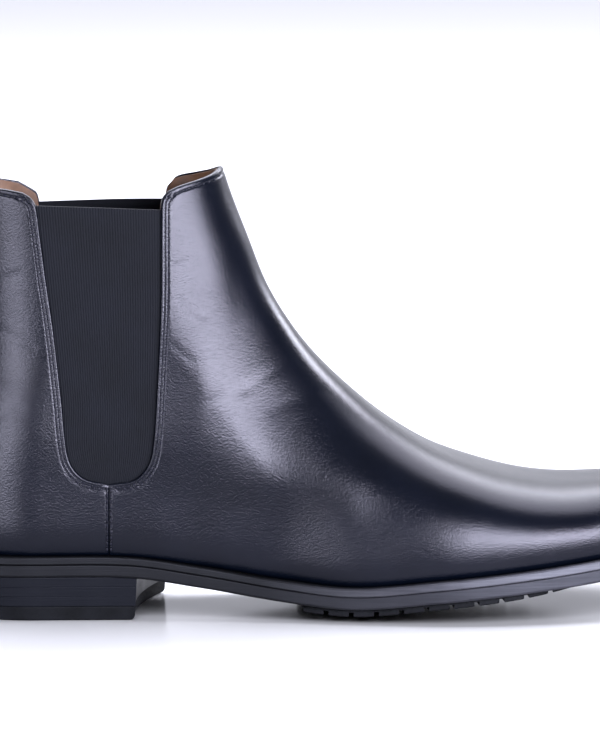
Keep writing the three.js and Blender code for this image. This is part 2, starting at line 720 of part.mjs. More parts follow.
add("upper_front", upperFront(), leatherBlack());
add("quarter_lateral", upperQuarter(-1), leatherBlack());
add("quarter_medial", upperQuarter(1), leatherBlack());
add("back_strip", backStrip(), leatherBlack());
add("pull_tab", pullTab(), elasticBlack());
add("gore_lateral", gore(-1), elasticBlack());
add("gore_medial", gore(1), elasticBlack());
add("lining_front", liningFront(), liningTan());
add("lining_quarter", liningQuarter(), liningTan());
add("toe_puff", toePuff(), feltGrey());
add("heel_counter", heelCounter(), feltGrey());
add("insole_board", insoleBoard(), boardBrown());
add("heel_pad", heelPad(), feltGrey());
add("sock_liner", sockLiner(), liningTan());
add("cork_filler", corkFiller(), corkBrown());
add("shank", shankStrip(0), steelGrey());
add("welt", welt(), soleEdgeBlack());
add("outsole", outsole(), soleEdgeBlack());
add("forepart_tread", forepartTread(), rubberBlack());
for (let i = 0; i < LIFT_COUNT; i += 1) {
  add(`heel_lift_${i + 1}`, heelLift(i), soleEdgeBlack());
}
add("top_piece", topPiece(), rubberBlack());
NAIL_PLACES.forEach((place, i) => {
  add(`heel_nail_${i + 1}`, heelNail(place), steelGrey());
});

// The origin is the middle of the whole boot's footprint.
const box = new THREE.Box3().setFromObject(boot);
const centre = box.getCenter(new THREE.Vector3());
boot.position.set(-centre.x, -centre.y, 0);

export default boot;
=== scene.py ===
"""Looks of a black chelsea boot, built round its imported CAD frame.

Shapes are worked out in the boot's own millimetres: x from the back of the heel towards the toe,
y from the heel's axis towards the inner (medial) side, z up from the floor. `to_frame` turns them
into the frame's metres. The upper is one smooth "last" surface whose half width is a function of
the place in the side view (x, z); every leather, elastic and lining piece is a sheet of it.
A "zone" is a (start, length) pair: the stretch over which one shape passes into the next.
"""

import math

import bpy
import numpy as np
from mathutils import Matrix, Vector, noise


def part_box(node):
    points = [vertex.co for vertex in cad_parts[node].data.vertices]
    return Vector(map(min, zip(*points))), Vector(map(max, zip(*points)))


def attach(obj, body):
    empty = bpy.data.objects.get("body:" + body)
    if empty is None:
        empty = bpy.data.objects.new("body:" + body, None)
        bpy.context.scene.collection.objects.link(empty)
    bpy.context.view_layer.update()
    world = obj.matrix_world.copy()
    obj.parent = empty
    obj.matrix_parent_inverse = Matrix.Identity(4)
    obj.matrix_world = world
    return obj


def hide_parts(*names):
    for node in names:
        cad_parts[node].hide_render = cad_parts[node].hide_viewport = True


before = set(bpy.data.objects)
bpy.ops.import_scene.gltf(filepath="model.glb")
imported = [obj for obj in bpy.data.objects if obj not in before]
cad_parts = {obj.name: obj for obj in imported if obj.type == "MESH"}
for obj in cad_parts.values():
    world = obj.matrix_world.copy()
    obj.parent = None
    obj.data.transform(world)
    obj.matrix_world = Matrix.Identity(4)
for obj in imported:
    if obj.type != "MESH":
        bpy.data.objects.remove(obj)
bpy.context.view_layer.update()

MM = 0.001
LATERAL = -1
MEDIAL = 1

# ------------ driving dimensions (mm)

sole_low, sole_high = (np.array(corner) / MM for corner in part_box("outsole"))
nail_box = np.array(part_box("heel_nail_1")) / MM  # this nail stands on the heel's axis

SOLE_LENGTH = float(sole_high[0] - sole_low[0])
FRAME_X = float(sole_low[0])  # the back of the sole in the frame
FRAME_Y = float(nail_box[:, 1].mean())  # the heel's axis in the frame

SOLE_EDGE = 4.6
WELT_THICKNESS = 3.0
HEEL_HEIGHT = 16.0
TOP_PIECE = 5.3
LIFT_COUNT = 3
BREAST_X = 83.0
BREAST_HALF_WIDTH = 32.0
BREAST_SKEW = 0.18  # how far forward the breast runs for each mm towards the inner side
BREAST_HOLLOW = 3.0
BREAST_ROUND = 1.9
HEEL_ROUND = 38.0
HEEL_TAPER = 0.13
HEEL_INSET = 0.6  # how far the heel's top lies inside the sole's edge
TOE_START = 205.0

FEATHER_INSET_HEEL = 2.5
FEATHER_INSET_TOE = 5.5
UPPER_BULGE = 1.5
LEATHER = 1.5
GORE_DEPTH = 1.3  # how deep the elastic's face lies under the leather's
GORE_THICKNESS = 1.3
GORE_MARGIN = 5.0  # how far the elastic runs on under the leather
LINING_DEPTH = 3.2
LINING = 1.0
LINING_CLOSING = 1.6  # the lining comes out to the leather along the top line

TREAD_DEPTH = 2.3
LUG_HEIGHT = 1.6
LUG_LENGTH = 7.2
LUG_GAP = 1.8
TREAD_START = 137.0
TREAD_END = 284.0
TREAD_INSET = 4.0
TREAD_TOE_INSET = 13.0
TREAD_THINNING = (200.0, 45.0)  # zone over which the rubber gets thinner
TREAD_NARROWING = (215.0, 30.0)
LUG_SHARES = ((-1.0, -0.62), (-0.56, -0.2), (-0.14, 0.14), (0.2, 0.56), (0.62, 1.0))

SOLE_INSET_ZONE = (85.0, 75.0)  # over it the heel's edge inset passes into the toe's
WELT_INNER_INSET = 11.0
SOCK_INSET = 10.4
SOCK_THICKNESS = 1.0
SOCK_RIM = 0.8
SOCK_ABOVE_WELT = 4.6
HEEL_PAD = 2.2  # its thickness
HEEL_PAD_END = (45.0, 32.0)  # zone over which the heel pad runs out

SEAM_X = 67.0
SEAM_TOP = 49.6  # where the side seam ends and the elastic begins
BACK_FOOT_X = 3.0  # x of the upper's foot at the back
BACK_SEAM_GAP = 0.12  # half the gap between the two quarters
STRIP_FOOT_WIDTH = 5.0  # half width of the back strip at its foot
STRIP_TOP_WIDTH = 8.0
STRIP_ROW = 1.5  # stitch row beside the back strip's edge
TAPE_HALF_WIDTH = 8.5
TAPE_WEAVE = 0.9
STITCH_PITCH = 2.1
STITCH_RADIUS = 0.36
PUCKER_RADIUS = 0.36
ROW_TRIM = 0.4  # bare stretch at each end of a stitch row
GORE_ROWS = (1.5, 2.65)  # stitch rows round the elastic, distance from the leather's edge
TOP_ROW = 2.1  # stitch row under the top line
SEAM_ROW = 0.72  # stitch row beside the side seam
RIB_COUNT = 56
RIB_HEIGHT = 0.26


# ------------ curves

def mix(a, b, t):
    return a + (b - a) * t


def smooth_step(t):
    c = np.clip(t, 0.0, 1.0)
    return c * c * (3 - 2 * c)


def share_over(zone, x):
    """Smooth 0..1 over a (start, length) zone."""
    return smooth_step((x - zone[0]) / zone[1])


def closer_to_end(count, strength=0.92):
    """0..1 in count steps that get closer together towards 1."""
    t = np.linspace(0, 1, count)
    return mix(t, np.sin(t * math.pi / 2), strength)


def through(pairs):
    """A smooth function through (position, value) pairs, straight beyond its ends."""
    places, values = (np.array(column, float) for column in zip(*pairs))
    last = len(places) - 1
    before = np.maximum(np.arange(last + 1) - 1, 0)
    after = np.minimum(np.arange(last + 1) + 1, last)
    slope = (values[after] - values[before]) / (places[after] - places[before])

    def curve(x):
        x = np.asarray(x, float)
        i = np.clip(np.searchsorted(places, x, side="left") - 1, 0, last - 1)
        width = places[i + 1] - places[i]
        t = (x - places[i]) / width
        rise = values[i + 1] - values[i]
        a = slope[i] * width - rise
        b = rise - slope[i + 1] * width
        inner = mix(values[i], values[i + 1], t) + t * (1 - t) * (a * (1 - t) + b * t)
        low = values[0] + slope[0] * (x - places[0])
        high = values[last] + slope[last] * (x - places[last])
        return np.where(x <= places[0], low, np.where(x >= places[last], high, inner))

    return curve


def distance_along(points):
    """Distance of each point of a polyline from its first one."""
    return np.concatenate([[0], np.cumsum(np.hypot(*np.diff(points, axis=0).T))])


def side_curve(points):
    """A smooth side-view curve through points, as a function of 0..1 along its length."""
    points = np.array(points, float)
    along = distance_along(points)
    along /= along[-1]
    x = through(list(zip(along, points[:, 0])))
    z = through(list(zip(along, points[:, 1])))
    return lambda t: np.stack([x(t), z(t)], axis=-1)


# ------------ plan and heights of the sole

full_half_width = through([
    (0, 33.5), (45, 33.5), (85, 33), (120, 34.8), (160, 44.5), (200, 51), (304, 45),
])
centre_line = through([(0, 0), (60, 0), (120, -1.8), (160, -0.5), (205, 2.5), (260, 8), (304, 12)])
sole_edge = through([
    (0, HEEL_HEIGHT), (40, HEEL_HEIGHT), (75, 15.6), (100, 12.1), (128, 7.6),
    (155, 5.2), (186, 8.1), (214, 10.9), (243, 14), (304, 22),
])
# How far the sole bulges down in its middle.
crown = through([(0, 0), (80, 0), (120, 2.4), (160, 4), (190, 3.4), (220, 1.6), (248, 0.6), (304, 0)])


def half_width(x, inset):
    """Half width of the sole's plan, drawn in by inset, round at the heel and the toe."""
    toe = SOLE_LENGTH - inset
    heel_part = np.clip((HEEL_ROUND - (x - inset)) / HEEL_ROUND, 0, 1)
    toe_part = np.clip((x - TOE_START) / (toe - TOE_START), 0, 1)
    return (full_half_width(x) - inset) * np.sqrt(1 - heel_part**2) * np.sqrt(1 - toe_part**2)


def sole_bottom(x, s):
    """Lower face of the outsole; s runs from -1 at the outer edge to +1 at the inner edge."""
    return np.maximum(sole_edge(x) - crown(x) * (1 - s * s), TREAD_DEPTH)


def outsole_top(x):
    return sole_edge(x) + SOLE_EDGE


def welt_top(x):
    return outsole_top(x) + WELT_THICKNESS


def feather_line(x):
    """Height of the upper's foot on the welt."""
    return welt_top(x) + 0.1


# ------------ the last surface

RIDGE = [
    (108.7, 162), (112.4, 151), (117.4, 138), (124.2, 120.5), (131.9, 107.0), (141.5, 94.3),
    (154.5, 81.2), (168.5, 69.6), (184.3, 59.5), (200, 53.1), (218, 48.1), (234, 46.2), (256, 46.8),
]
TOE_DROP_START = 255.0
UPPER_TIP = SOLE_LENGTH - FEATHER_INSET_TOE
PEAK_SLOPE = 2.9
RIDGE_SHIFT = 3.0
SHAFT_FRONT_ROUND = 42.0
SHAFT_BACK_ROUND = 40.0
INSTEP_ROUND = 62.0
VAMP_LOW_X = 234.0  # the lowest place of the ridge before the toe

# A squareness of 2 is an elliptical section; more gives a steeper wall and a flatter top.
# A reach is the share of the height that the rounded top takes.
WAIST_SQUARENESS = 2.6
WAIST_REACH = 1.08
WAIST_ZONE = (112.0, 28.0)
FOREPART_SQUARENESS = 3.3
FOREPART_REACH = 0.82
FOREPART_ZONE = (145.0, 58.0)
FOREPART_REACH_ZONE = (145.0, 62.0)
ACROSS_ZONE = (120.0, 90.0)  # over it the shaft's round front gives way to the forepart's section

SHAFT_RISE = 55.0
SHAFT_ZONE = (95.0, 60.0)
BULGE_HEIGHT = 9.0
WAIST_HOLLOW = 2.8  # how much the ankle's front is drawn in above the waist
HOLLOW_UP_ZONE = (48.0, 36.0)
HOLLOW_FORWARD_ZONE = (99.0, 27.0)
FEATHER_ZONE = (75.0, 60.0)
RIDGE_SHIFT_ZONE = (110.0, 60.0)

ridge_height = through(RIDGE)
back_line = through([(24, 3), (36, 2), (52, 1.9), (74, 4.4), (97, 8), (120, 8.6), (160, 6.4)])
shaft_half_width = through([(24, 31), (60, 31.2), (95, 29), (130, 27.4), (161, 27)])


def feather_inset(x):
    return mix(FEATHER_INSET_HEEL, FEATHER_INSET_TOE, share_over(FEATHER_ZONE, x))


def top_of_upper(x):
    """Height of the upper's silhouette above x."""
    base = feather_line(x)
    t = np.clip((x - TOE_DROP_START) / (UPPER_TIP - TOE_DROP_START), 0, 1)
    over = base + (ridge_height(x) - base) * np.sqrt(1 - t**2.3)
    behind = RIDGE[0][1] + (RIDGE[0][0] - x) * PEAK_SLOPE
    return np.where(x < RIDGE[0][0], behind, over)


RIDGE_X = np.linspace(60, VAMP_LOW_X, 3000)
RIDGE_Z = top_of_upper(RIDGE_X)


def ridge_place(z):
    """The x at which the silhouette comes down to height z."""
    return np.interp(z, RIDGE_Z[::-1], RIDGE_X[::-1])


def width_squared(x, z):
    """Square of the upper's half width. It passes smoothly through zero at the silhouette."""
    foot = feather_line(x)
    height = top_of_upper(x) - foot
    toe_part = np.clip((x - TOE_START) / (UPPER_TIP - TOE_START), 0, 1)
    shoe = (full_half_width(x) - feather_inset(x)) * np.sqrt(1 - toe_part**2)
    shaft_share = smooth_step((z - foot) / SHAFT_RISE) * (1 - share_over(SHAFT_ZONE, x))
    rise = np.maximum(z - foot, 0) / BULGE_HEIGHT
    bulge = UPPER_BULGE * rise * np.exp(1 - rise) * smooth_step(height / 20)
    hollow = WAIST_HOLLOW * share_over(HOLLOW_UP_ZONE, z) * share_over(HOLLOW_FORWARD_ZONE, x)
    full = mix(shoe, shaft_half_width(z), shaft_share) + bulge - hollow

    depth_down = top_of_upper(x) - z
    reach = height * INSTEP_ROUND / np.maximum(height**4 + INSTEP_ROUND**4, 1e-6) ** 0.25
    waist = share_over(WAIST_ZONE, x)
    reach = reach * mix(mix(1.0, WAIST_REACH, waist), FOREPART_REACH, share_over(FOREPART_REACH_ZONE, x))
    front = depth_down / np.maximum(reach, 0.01)
    across_share = 1 - share_over(ACROSS_ZONE, x)
    across = np.maximum(ridge_place(z) - x, 1e-6) / np.maximum(SHAFT_FRONT_ROUND * across_share, 1e-9)
    both = 1 / np.hypot(1 / np.maximum(front, 1e-9), 1 / across)
    front = np.where((across_share > 0) & (front > 0), both, front)
    back = (x - back_line(z)) / SHAFT_BACK_ROUND

    power = mix(mix(2.0, WAIST_SQUARENESS, waist), FOREPART_SQUARENESS, share_over(FOREPART_ZONE, x))
    front_part = 1 - np.maximum(1 - front, 0) ** power
    front_part = np.where(front < 0, -np.abs(1 - (1 - np.minimum(front, 0)) ** power), front_part)
    front_part = np.sign(front_part) * np.abs(front_part) ** (2 / power)
    back_part = np.where(back >= 1, 1.0, 1 - (1 - back) ** 2)
    return full * full * front_part * back_part


def middle_y(x, z):
    """The y of the upper's middle: over the instep its ridge leans to the inner side."""
    foot = feather_line(x)
    share = np.clip((z - foot) / np.maximum(top_of_upper(x) - foot, 1), 0, 1)
    return centre_line(x) + RIDGE_SHIFT * share_over(RIDGE_SHIFT_ZONE, x) * share


def upper_points(xz, side, depth):
    """Points of the upper, `depth` mm inside its outer face, for side-view points xz (..., 2)."""
    x, z = xz[..., 0], xz[..., 1]
    h = 0.05
    width = np.sqrt(np.maximum(width_squared(x, z), 0))
    normal = np.stack([
        -(width_squared(x + h, z) - width_squared(x - h, z)) / (2 * h),
        2 * side * width,
        -(width_squared(x, z + h) - width_squared(x, z - h)) / (2 * h),
    ], axis=-1)
    normal /= np.maximum(np.linalg.norm(normal, axis=-1, keepdims=True), 1e-9)
    point = np.stack([x, middle_y(x, z) + side * width, z], axis=-1)
    return point - normal * np.asarray(depth)[..., None]


# ------------ panel outlines

GORE_BACK = [
    (41.2, 149.6), (42.6, 140), (44.8, 123), (47.4, 105), (50.2, 80), (51.6, 65), (53.4, 57), (58.4, 51.8),
    (SEAM_X, SEAM_TOP),
]
GORE_FRONT = [
    (86.4, 148.6), (86.0, 116), (84.6, 87), (83.2, 66), (81.4, 57), (76.2, 51.4), (SEAM_X, SEAM_TOP),
]
FRONT_CORNER = [(87.0, 152.4), (89.0, 154.9)]
TOP_LINE_FRONT = [(89.0, 154.9), (93.1, 156.7), (100.4, 158.7), (105, 160.1), (108.7, 162)]

# The inner side is cut a little differently: its elastic is lower and its front edge lies further on.
BACK_CORNER = {
    LATERAL: [(39.4, 152.7), (36.4, 154.7)],
    MEDIAL: [(38.0, 152.0), (34.2, 154.2)],
}
TOP_LINE_BACK = {
    LATERAL: [(6.6, 156.6), (20, 156.2), (29, 155.9), (36.4, 154.7)],
    MEDIAL: [(6.6, 156.6), (18, 156.1), (26, 155.6), (34.2, 154.2)],
}
BACK_TOP = 156.6
MEDIAL_GORE_TOP = (-3.6, 0.0)  # how much lower the inner elastic's top is at its back and its front
MEDIAL_FRONT_SHIFT = 2.4  # how much further forward the inner side's front edge is at the top
MEDIAL_SHIFT_ZONE = (108.0, 40.0)


def widened(points, shift, direction, side):
    """The elastic's outline moved outwards by shift, and forward at the top on the inner side."""
    moved = []
    for x, z in points:
        is_shifted = side == MEDIAL and direction > 0
        forward = MEDIAL_FRONT_SHIFT * float(share_over(MEDIAL_SHIFT_ZONE, z)) if is_shifted else 0.0
        across = direction * shift * float(smooth_step((z - 49) / 6))
        moved.append((x + across + forward, z - shift * float(smooth_step((60 - z) / 8))))
    return moved


def panel_edge(points, shift, direction, side):
    """Up the side seam, then along the elastic's outline moved outwards by shift."""
    foot = float(feather_line(SEAM_X))
    top = SEAM_TOP - shift
    seam = [(SEAM_X, mix(foot, top, t)) for t in (0, 0.5, 0.8, 0.95)]
    return side_curve(seam + [(SEAM_X, top)] + widened(points, shift, direction, side))


def quarter_edge(side, shift=0.0):
    """Front edge of the back quarter: up the side seam, round the elastic and up to the top."""
    return panel_edge(GORE_BACK[-2::-1] + BACK_CORNER[side], shift, -1, side)


def front_edge(side, shift=0.0):
    """Back edge of the front piece, the same way up."""
    return panel_edge(GORE_FRONT[-2::-1] + FRONT_CORNER, shift, 1, side)


def end_of(edge, drop):
    """The upper end of an edge, moved down by drop."""
    x, z = edge(1.0)
    return (float(x), float(z) - drop)


def quarter_top(side, drop=0.0):
    """Top line of the back quarter, from the back to the elastic's corner."""
    return [(x, z - drop) for x, z in TOP_LINE_BACK[side]]


def front_top(side, drop=0.0):
    """Top line of the front piece, from the elastic's corner to the peak."""
    corner = end_of(front_edge(side), drop)
    return [corner] + [(x, z - drop) for x, z in TOP_LINE_FRONT if x > corner[0] + 1.5]


def patch(bottom, top, left, right):
    """Fills the side-view patch between four curves, as a function of s (up) and t (across)."""

    def place(s, t):
        s, t = np.broadcast_arrays(s, t)
        rows = mix(bottom(t), top(t), s[..., None])
        columns = mix(left(s), right(s), t[..., None])
        low = mix(bottom(0.0), bottom(1.0), t[..., None])
        high = mix(top(0.0), top(1.0), t[..., None])
        return rows + columns - mix(low, high, s[..., None])

    return place


def feather_curve(start, end):
    """The upper's foot from x start to x end."""

    def curve(t):
        x = mix(start, end, np.asarray(t, float))
        return np.stack([x, feather_line(x)], axis=-1)

    return curve


def lowered(curve, drop):
    """The curve with its end at 1 moved down by drop, and the rest in proportion."""

    def moved(t):
        shift = np.zeros(np.shape(t) + (2,))
        shift[..., 1] = drop * np.asarray(t, float)
        return curve(t) - shift

    return moved


def quarter_patch(side, shift=0.0, drop=0.0):
    """The back quarter, its front edge moved by shift and its top line by drop."""
    edge = quarter_edge(side, shift)
    top_points = quarter_top(side, drop)[:-1] + [end_of(edge, drop)]
    high = BACK_TOP - drop

    def back(s):
        z = mix(feather_line(BACK_FOOT_X), high, np.asarray(s, float))
        return np.stack([back_line(z), z], axis=-1)

    bottom = feather_curve(float(back_line(feather_line(BACK_FOOT_X))), SEAM_X)
    return patch(bottom, side_curve(top_points), back, lowered(edge, drop))


def ridge_curve():
    """The silhouette from the toe tip over the instep to the peak."""
    turns = np.linspace(0, math.pi / 2, 9)
    toe = UPPER_TIP - (UPPER_TIP - TOE_DROP_START) * (1 - np.cos(turns))
    points = [(x, float(top_of_upper(x))) for x in toe] + list(reversed(RIDGE[:-1]))
    curve = side_curve(points)

    def ridge(s):
        x = np.minimum(curve(s)[..., 0], UPPER_TIP)
        return np.stack([x, top_of_upper(x)], axis=-1)

    return ridge


def front_patch(side, shift=0.0, drop=0.0):
    """One side of the front piece, from its back edge and the seam to the ridge and the toe."""
    edge = front_edge(side, shift)
    top_points = [end_of(edge, drop)] + front_top(side, drop)[1:]
    bottom = feather_curve(SEAM_X, UPPER_TIP)
    return patch(bottom, side_curve(top_points), lowered(edge, drop), lowered(ridge_curve(), drop))


# ------------ meshes

JOIN_WITHIN = 2e-6  # metres; points that share this cell become one


def to_frame(points):
    """Boot millimetres to the frame's metres."""
    return (np.asarray(points, float) + (FRAME_X, FRAME_Y, 0)) * MM


def mesh_object(name, points, faces, material, smooth=True):
    """A mesh object from boot millimetres. Equal points are joined and bad faces dropped."""
    points = to_frame(points)
    keys, inverse = np.unique(np.round(points / JOIN_WITHIN).astype(np.int64), axis=0, return_inverse=True)
    inverse = inverse.reshape(-1)
    first = np.zeros(len(keys), int)
    first[inverse[::-1]] = np.arange(len(points))[::-1]
    merged = points[first]
    kept = []
    for face in faces:
        ring = list(dict.fromkeys(int(inverse[corner]) for corner in face))
        if len(ring) > 2:
            kept.append(ring)
    mesh = bpy.data.meshes.new(name)
    mesh.from_pydata(merged.tolist(), [], kept)
    mesh.update()
    mesh.polygons.foreach_set("use_smooth", [smooth] * len(mesh.polygons))
    mesh.materials.append(material)
    piece = bpy.data.objects.new(name, mesh)
    bpy.context.scene.collection.objects.link(piece)
    return piece


def make_outward(piece):
    """Turns the faces of a closed piece outwards."""
    mesh = piece.data
    count = len(mesh.vertices)
    points = np.empty(count * 3)
    mesh.vertices.foreach_get("co", points)
    points = points.reshape(-1, 3)
    mesh.calc_loop_triangles()
    corners = np.empty(len(mesh.loop_triangles) * 3, int)
    mesh.loop_triangles.foreach_get("vertices", corners)
    a, b, c = (points[corners.reshape(-1, 3)[:, k]] for k in range(3))
    if np.einsum("ij,ij->i", a, np.cross(b, c)).sum() < 0:
        mesh.flip_normals()
    return piece


def grid_faces(rows, columns, start=0, ring_rows=False, ring_columns=False):
    """Quads of a grid whose point (r, c) is number start + r * columns + c."""
    r = np.arange(rows if ring_rows else rows - 1)
    c = np.arange(columns if ring_columns else columns - 1)
    r, c = np.meshgrid(r, c, indexing="ij")
    r2, c2 = (r + 1) % rows, (c + 1) % columns
    quad = np.stack([r * columns + c, r * columns + c2, r2 * columns + c2, r2 * columns + c], axis=-1)
    return (quad.reshape(-1, 4) + start).tolist()


def rim_faces(rows, columns):
    """Quads that close the border between two stacked grids of the same size."""
    top = [(0, c) for c in range(columns)] + [(r, columns - 1) for r in range(1, rows)]
    top += [(rows - 1, c) for c in range(columns - 2, -1, -1)] + [(r, 0) for r in range(rows - 2, 0, -1)]
    loop = [r * columns + c for r, c in top]
    size = rows * columns
    ends = loop[1:] + loop[:1]
    return [[b, a, a + size, b + size] for a, b in zip(loop, ends)]


def closed_sheet(name, outer, inner, material):
    """A closed sheet between two grids of points (rows, columns, 3)."""
    rows, columns = outer.shape[:2]
    points = np.concatenate([outer.reshape(-1, 3), inner.reshape(-1, 3)])
    faces = grid_faces(rows, columns)
    faces += [face[::-1] for face in grid_faces(rows, columns, rows * columns)]
    faces += rim_faces(rows, columns)
    return make_outward(mesh_object(name, points, faces, material))


def distance_to(curve_points, xz):
    """Distance in the side view from every grid point to a polyline."""
    flat = xz.reshape(-1, 2)
    start, end = curve_points[:-1], curve_points[1:]
    step = end - start
    best = np.full(len(flat), 1e9)
    for a, d in zip(start, step):
        t = np.clip(((flat - a) @ d) / max(d @ d, 1e-9), 0, 1)
        best = np.minimum(best, np.hypot(*(flat - a - t[:, None] * d).T))
    return best.reshape(xz.shape[:-1])


def rolled(distance, radius):
    """How far a face has turned down at this distance from a rounded edge."""
    inside = np.clip(radius - distance, 0, radius)
    return radius - np.sqrt(radius**2 - inside**2)


# ------------ node materials

class Nodes:
    """A short way to write the node tree of a material or a world."""

    def __init__(self, owner, place="Object"):
        owner.use_nodes = True
        self.owner = owner
        self.tree = owner.node_tree
        self.place = self.tree.nodes.new("ShaderNodeTexCoord").outputs[place]

    def add(self, kind, inputs=None, **settings):
        node = self.tree.nodes.new(kind)
        for key, value in settings.items():
            setattr(node, key, value)
        for key, value in (inputs or {}).items():
            self.set(node.inputs[key], value)
        return node

    def set(self, socket, value):
        if isinstance(value, bpy.types.NodeSocket):
            self.tree.links.new(value, socket)
        else:
            socket.default_value = value

    def stretch(self, scale, turn=(0, 0, 0)):
        node = self.add("ShaderNodeMapping", {"Vector": self.place, "Scale": scale, "Rotation": turn})
        return node.outputs["Vector"]

    def noise(self, scale, detail=3, vector=None, rough=0.55):
        inputs = {"Vector": vector or self.place, "Scale": scale, "Detail": detail, "Roughness": rough}
        return self.add("ShaderNodeTexNoise", inputs).outputs["Fac"]

    def ramp(self, value, low, high, start=0.0, end=1.0, kind="LINEAR"):
        inputs = {"Value": value, "From Min": low, "From Max": high, "To Min": start, "To Max": end}
        return self.add("ShaderNodeMapRange", inputs, interpolation_type=kind).outputs["Result"]

    def math(self, kind, a, b):
        return self.add("ShaderNodeMath", {0: a, 1: b}, operation=kind).outputs["Value"]

    def blend(self, share, a, b):
        """A colour between a and b."""
        node = self.add("ShaderNodeMix", data_type="RGBA")
        for number, value in ((0, share), (6, a), (7, b)):  # the sockets of the colour form
            self.set(node.inputs[number], value)
        return node.outputs[2]

    def two_tone(self, value, dark, light, low=0.35, high=0.65):
        return self.blend(self.ramp(value, low, high), colour(*dark), colour(*light))

    def mean(self, a, b, share):
        """share of a and the rest of b."""
        return self.math("ADD", self.math("MULTIPLY", a, share), self.math("MULTIPLY", b, 1 - share))

    def bump(self, height, strength, distance, below=None):
        node = self.add("ShaderNodeBump", {"Height": height, "Strength": strength, "Distance": distance})
        if below is not None:
            self.set(node.inputs["Normal"], below)
        return node.outputs["Normal"]

    def finish(self, **inputs):
        """Sets the shader's sockets and gives back the material."""
        for key, value in inputs.items():
            self.set(self.tree.nodes["Principled BSDF"].inputs[key.replace("_", " ")], value)
        return self.owner


def new_look(name):
    return Nodes(bpy.data.materials.new(name))


def colour(red, green, blue):
    return (red, green, blue, 1.0)


def upper_leather():
    """Polished calf: fine grain, faint pull wrinkles and a cool sheen."""
    n = new_look("polished_calf")
    cloud = n.noise(26, 4)
    grain = n.noise(1500, 5)
    wrinkles = n.noise(620, 3, n.stretch((1.0, 1.0, 0.85), (0, 0.6, 0)), 0.5)
    tint = n.two_tone(cloud, (0.0004, 0.0008, 0.0020), (0.0009, 0.0015, 0.0036), 0.35, 0.7)
    rough = n.math("ADD", n.ramp(cloud, 0.3, 0.7, 0.20, 0.25), n.ramp(grain, 0.3, 0.7, -0.03, 0.03))
    fine = n.bump(grain, 0.64, 0.00016)
    normal = n.bump(wrinkles, 0.055, 0.00028, fine)
    return n.finish(
        Base_Color=tint, Roughness=rough, Normal=normal, Specular_IOR_Level=0.18,
        Specular_Tint=colour(0.86, 0.84, 0.98), Coat_Weight=0.05, Coat_Roughness=0.10, Coat_Normal=fine,
    )


def elastic_webbing():
    """Matt ribbed webbing: the ribs are in the mesh, the yarn crossing them is here."""
    n = new_look("ribbed_elastic")
    yarn = n.noise(1400, 3, n.stretch((1, 1, 3.2)))
    both = n.mean(n.noise(60, 3), yarn, 0.5)
    return n.finish(
        Base_Color=n.two_tone(both, (0.0009, 0.0012, 0.0026), (0.0021, 0.0026, 0.0052)), Roughness=0.8,
        Normal=n.bump(yarn, 0.35, 0.00025), Sheen_Weight=0.03, Sheen_Roughness=0.5, Specular_IOR_Level=0.12,
    )


def lining_leather():
    """Soft tan lining with darker mottling and pores."""
    n = new_look("tan_lining")
    grain = n.noise(1100, 4)
    tint = n.two_tone(n.noise(75, 5), (0.040, 0.016, 0.007), (0.110, 0.050, 0.023), 0.35, 0.68)
    tint = n.blend(n.ramp(grain, 0.45, 0.75, 0, 0.35), tint, colour(0.028, 0.013, 0.007))
    return n.finish(
        Base_Color=tint, Roughness=0.62, Normal=n.bump(grain, 0.25, 0.0002), Specular_IOR_Level=0.35,
    )


def waxed_edge(name, dark, light, gloss, shine, bump, rear_shade_share):
    """Waxed leather edge with fine fibre lines that run along it, painted darker towards the heel as painted
    shade.
    """
    n = new_look(name)
    fibre = n.noise(300, 4, n.stretch((0.12, 0.12, 6.0)))
    cloud = n.noise(70, 4)
    tint = n.two_tone(n.mean(fibre, cloud, 0.6), dark, light)
    along = n.add("ShaderNodeSeparateXYZ", {"Vector": n.place}).outputs["X"]
    # Painted shade: towards the heel the tone passes into this share of its mean tone, standing in for the
    # shade that falls on the rear of the edge.
    painted_rear_shade = colour(*(rear_shade_share * (a + b) / 2 for a, b in zip(dark, light)))
    return n.finish(
        Base_Color=n.blend(n.ramp(along, -0.03, 0.08), painted_rear_shade, tint),
        Roughness=n.ramp(cloud, 0.3, 0.7, gloss, gloss + 0.12), Normal=n.bump(fibre, bump, 0.0002),
        Specular_IOR_Level=shine, Specular_Tint=colour(0.84, 0.87, 1.0),
    )


def tread_rubber():
    """Dull black rubber with a fine speck."""
    n = new_look("tread_rubber")
    speck = n.noise(1300, 4)
    return n.finish(
        Base_Color=n.two_tone(n.noise(90, 3), (0.0015, 0.0017, 0.0024), (0.0035, 0.0038, 0.0052)),
        Roughness=n.ramp(speck, 0.3, 0.7, 0.6, 0.8), Normal=n.bump(speck, 0.3, 0.0002),
        Specular_IOR_Level=0.07,
    )


def waxed_thread():
    """Dark blue-black thread."""
    n = new_look("waxed_thread")
    twist = n.noise(2600, 2)
    return n.finish(
        Base_Color=n.two_tone(twist, (0.0016, 0.0017, 0.0045), (0.0045, 0.0048, 0.0110)), Roughness=0.55,
        Normal=n.bump(twist, 0.3, 0.0002), Specular_IOR_Level=0.15,
    )


def woven_tape():
    """Grey-black woven tape: bands of weft over a fine yarn."""
    n = new_look("woven_tape")
    bands = {"Vector": n.place, "Scale": 420.0, "Distortion": 1.5, "Detail": 2.0}
    wave = n.add("ShaderNodeTexWave", bands, bands_direction="Z").outputs["Fac"]
    height = n.mean(wave, n.noise(1500, 2, n.stretch((1, 3, 1))), 0.6)
    return n.finish(
        Base_Color=n.blend(height, colour(0.008, 0.008, 0.011), colour(0.03, 0.031, 0.038)), Roughness=0.85,
        Normal=n.bump(height, 0.5, 0.0003), Specular_IOR_Level=0.25,
    )


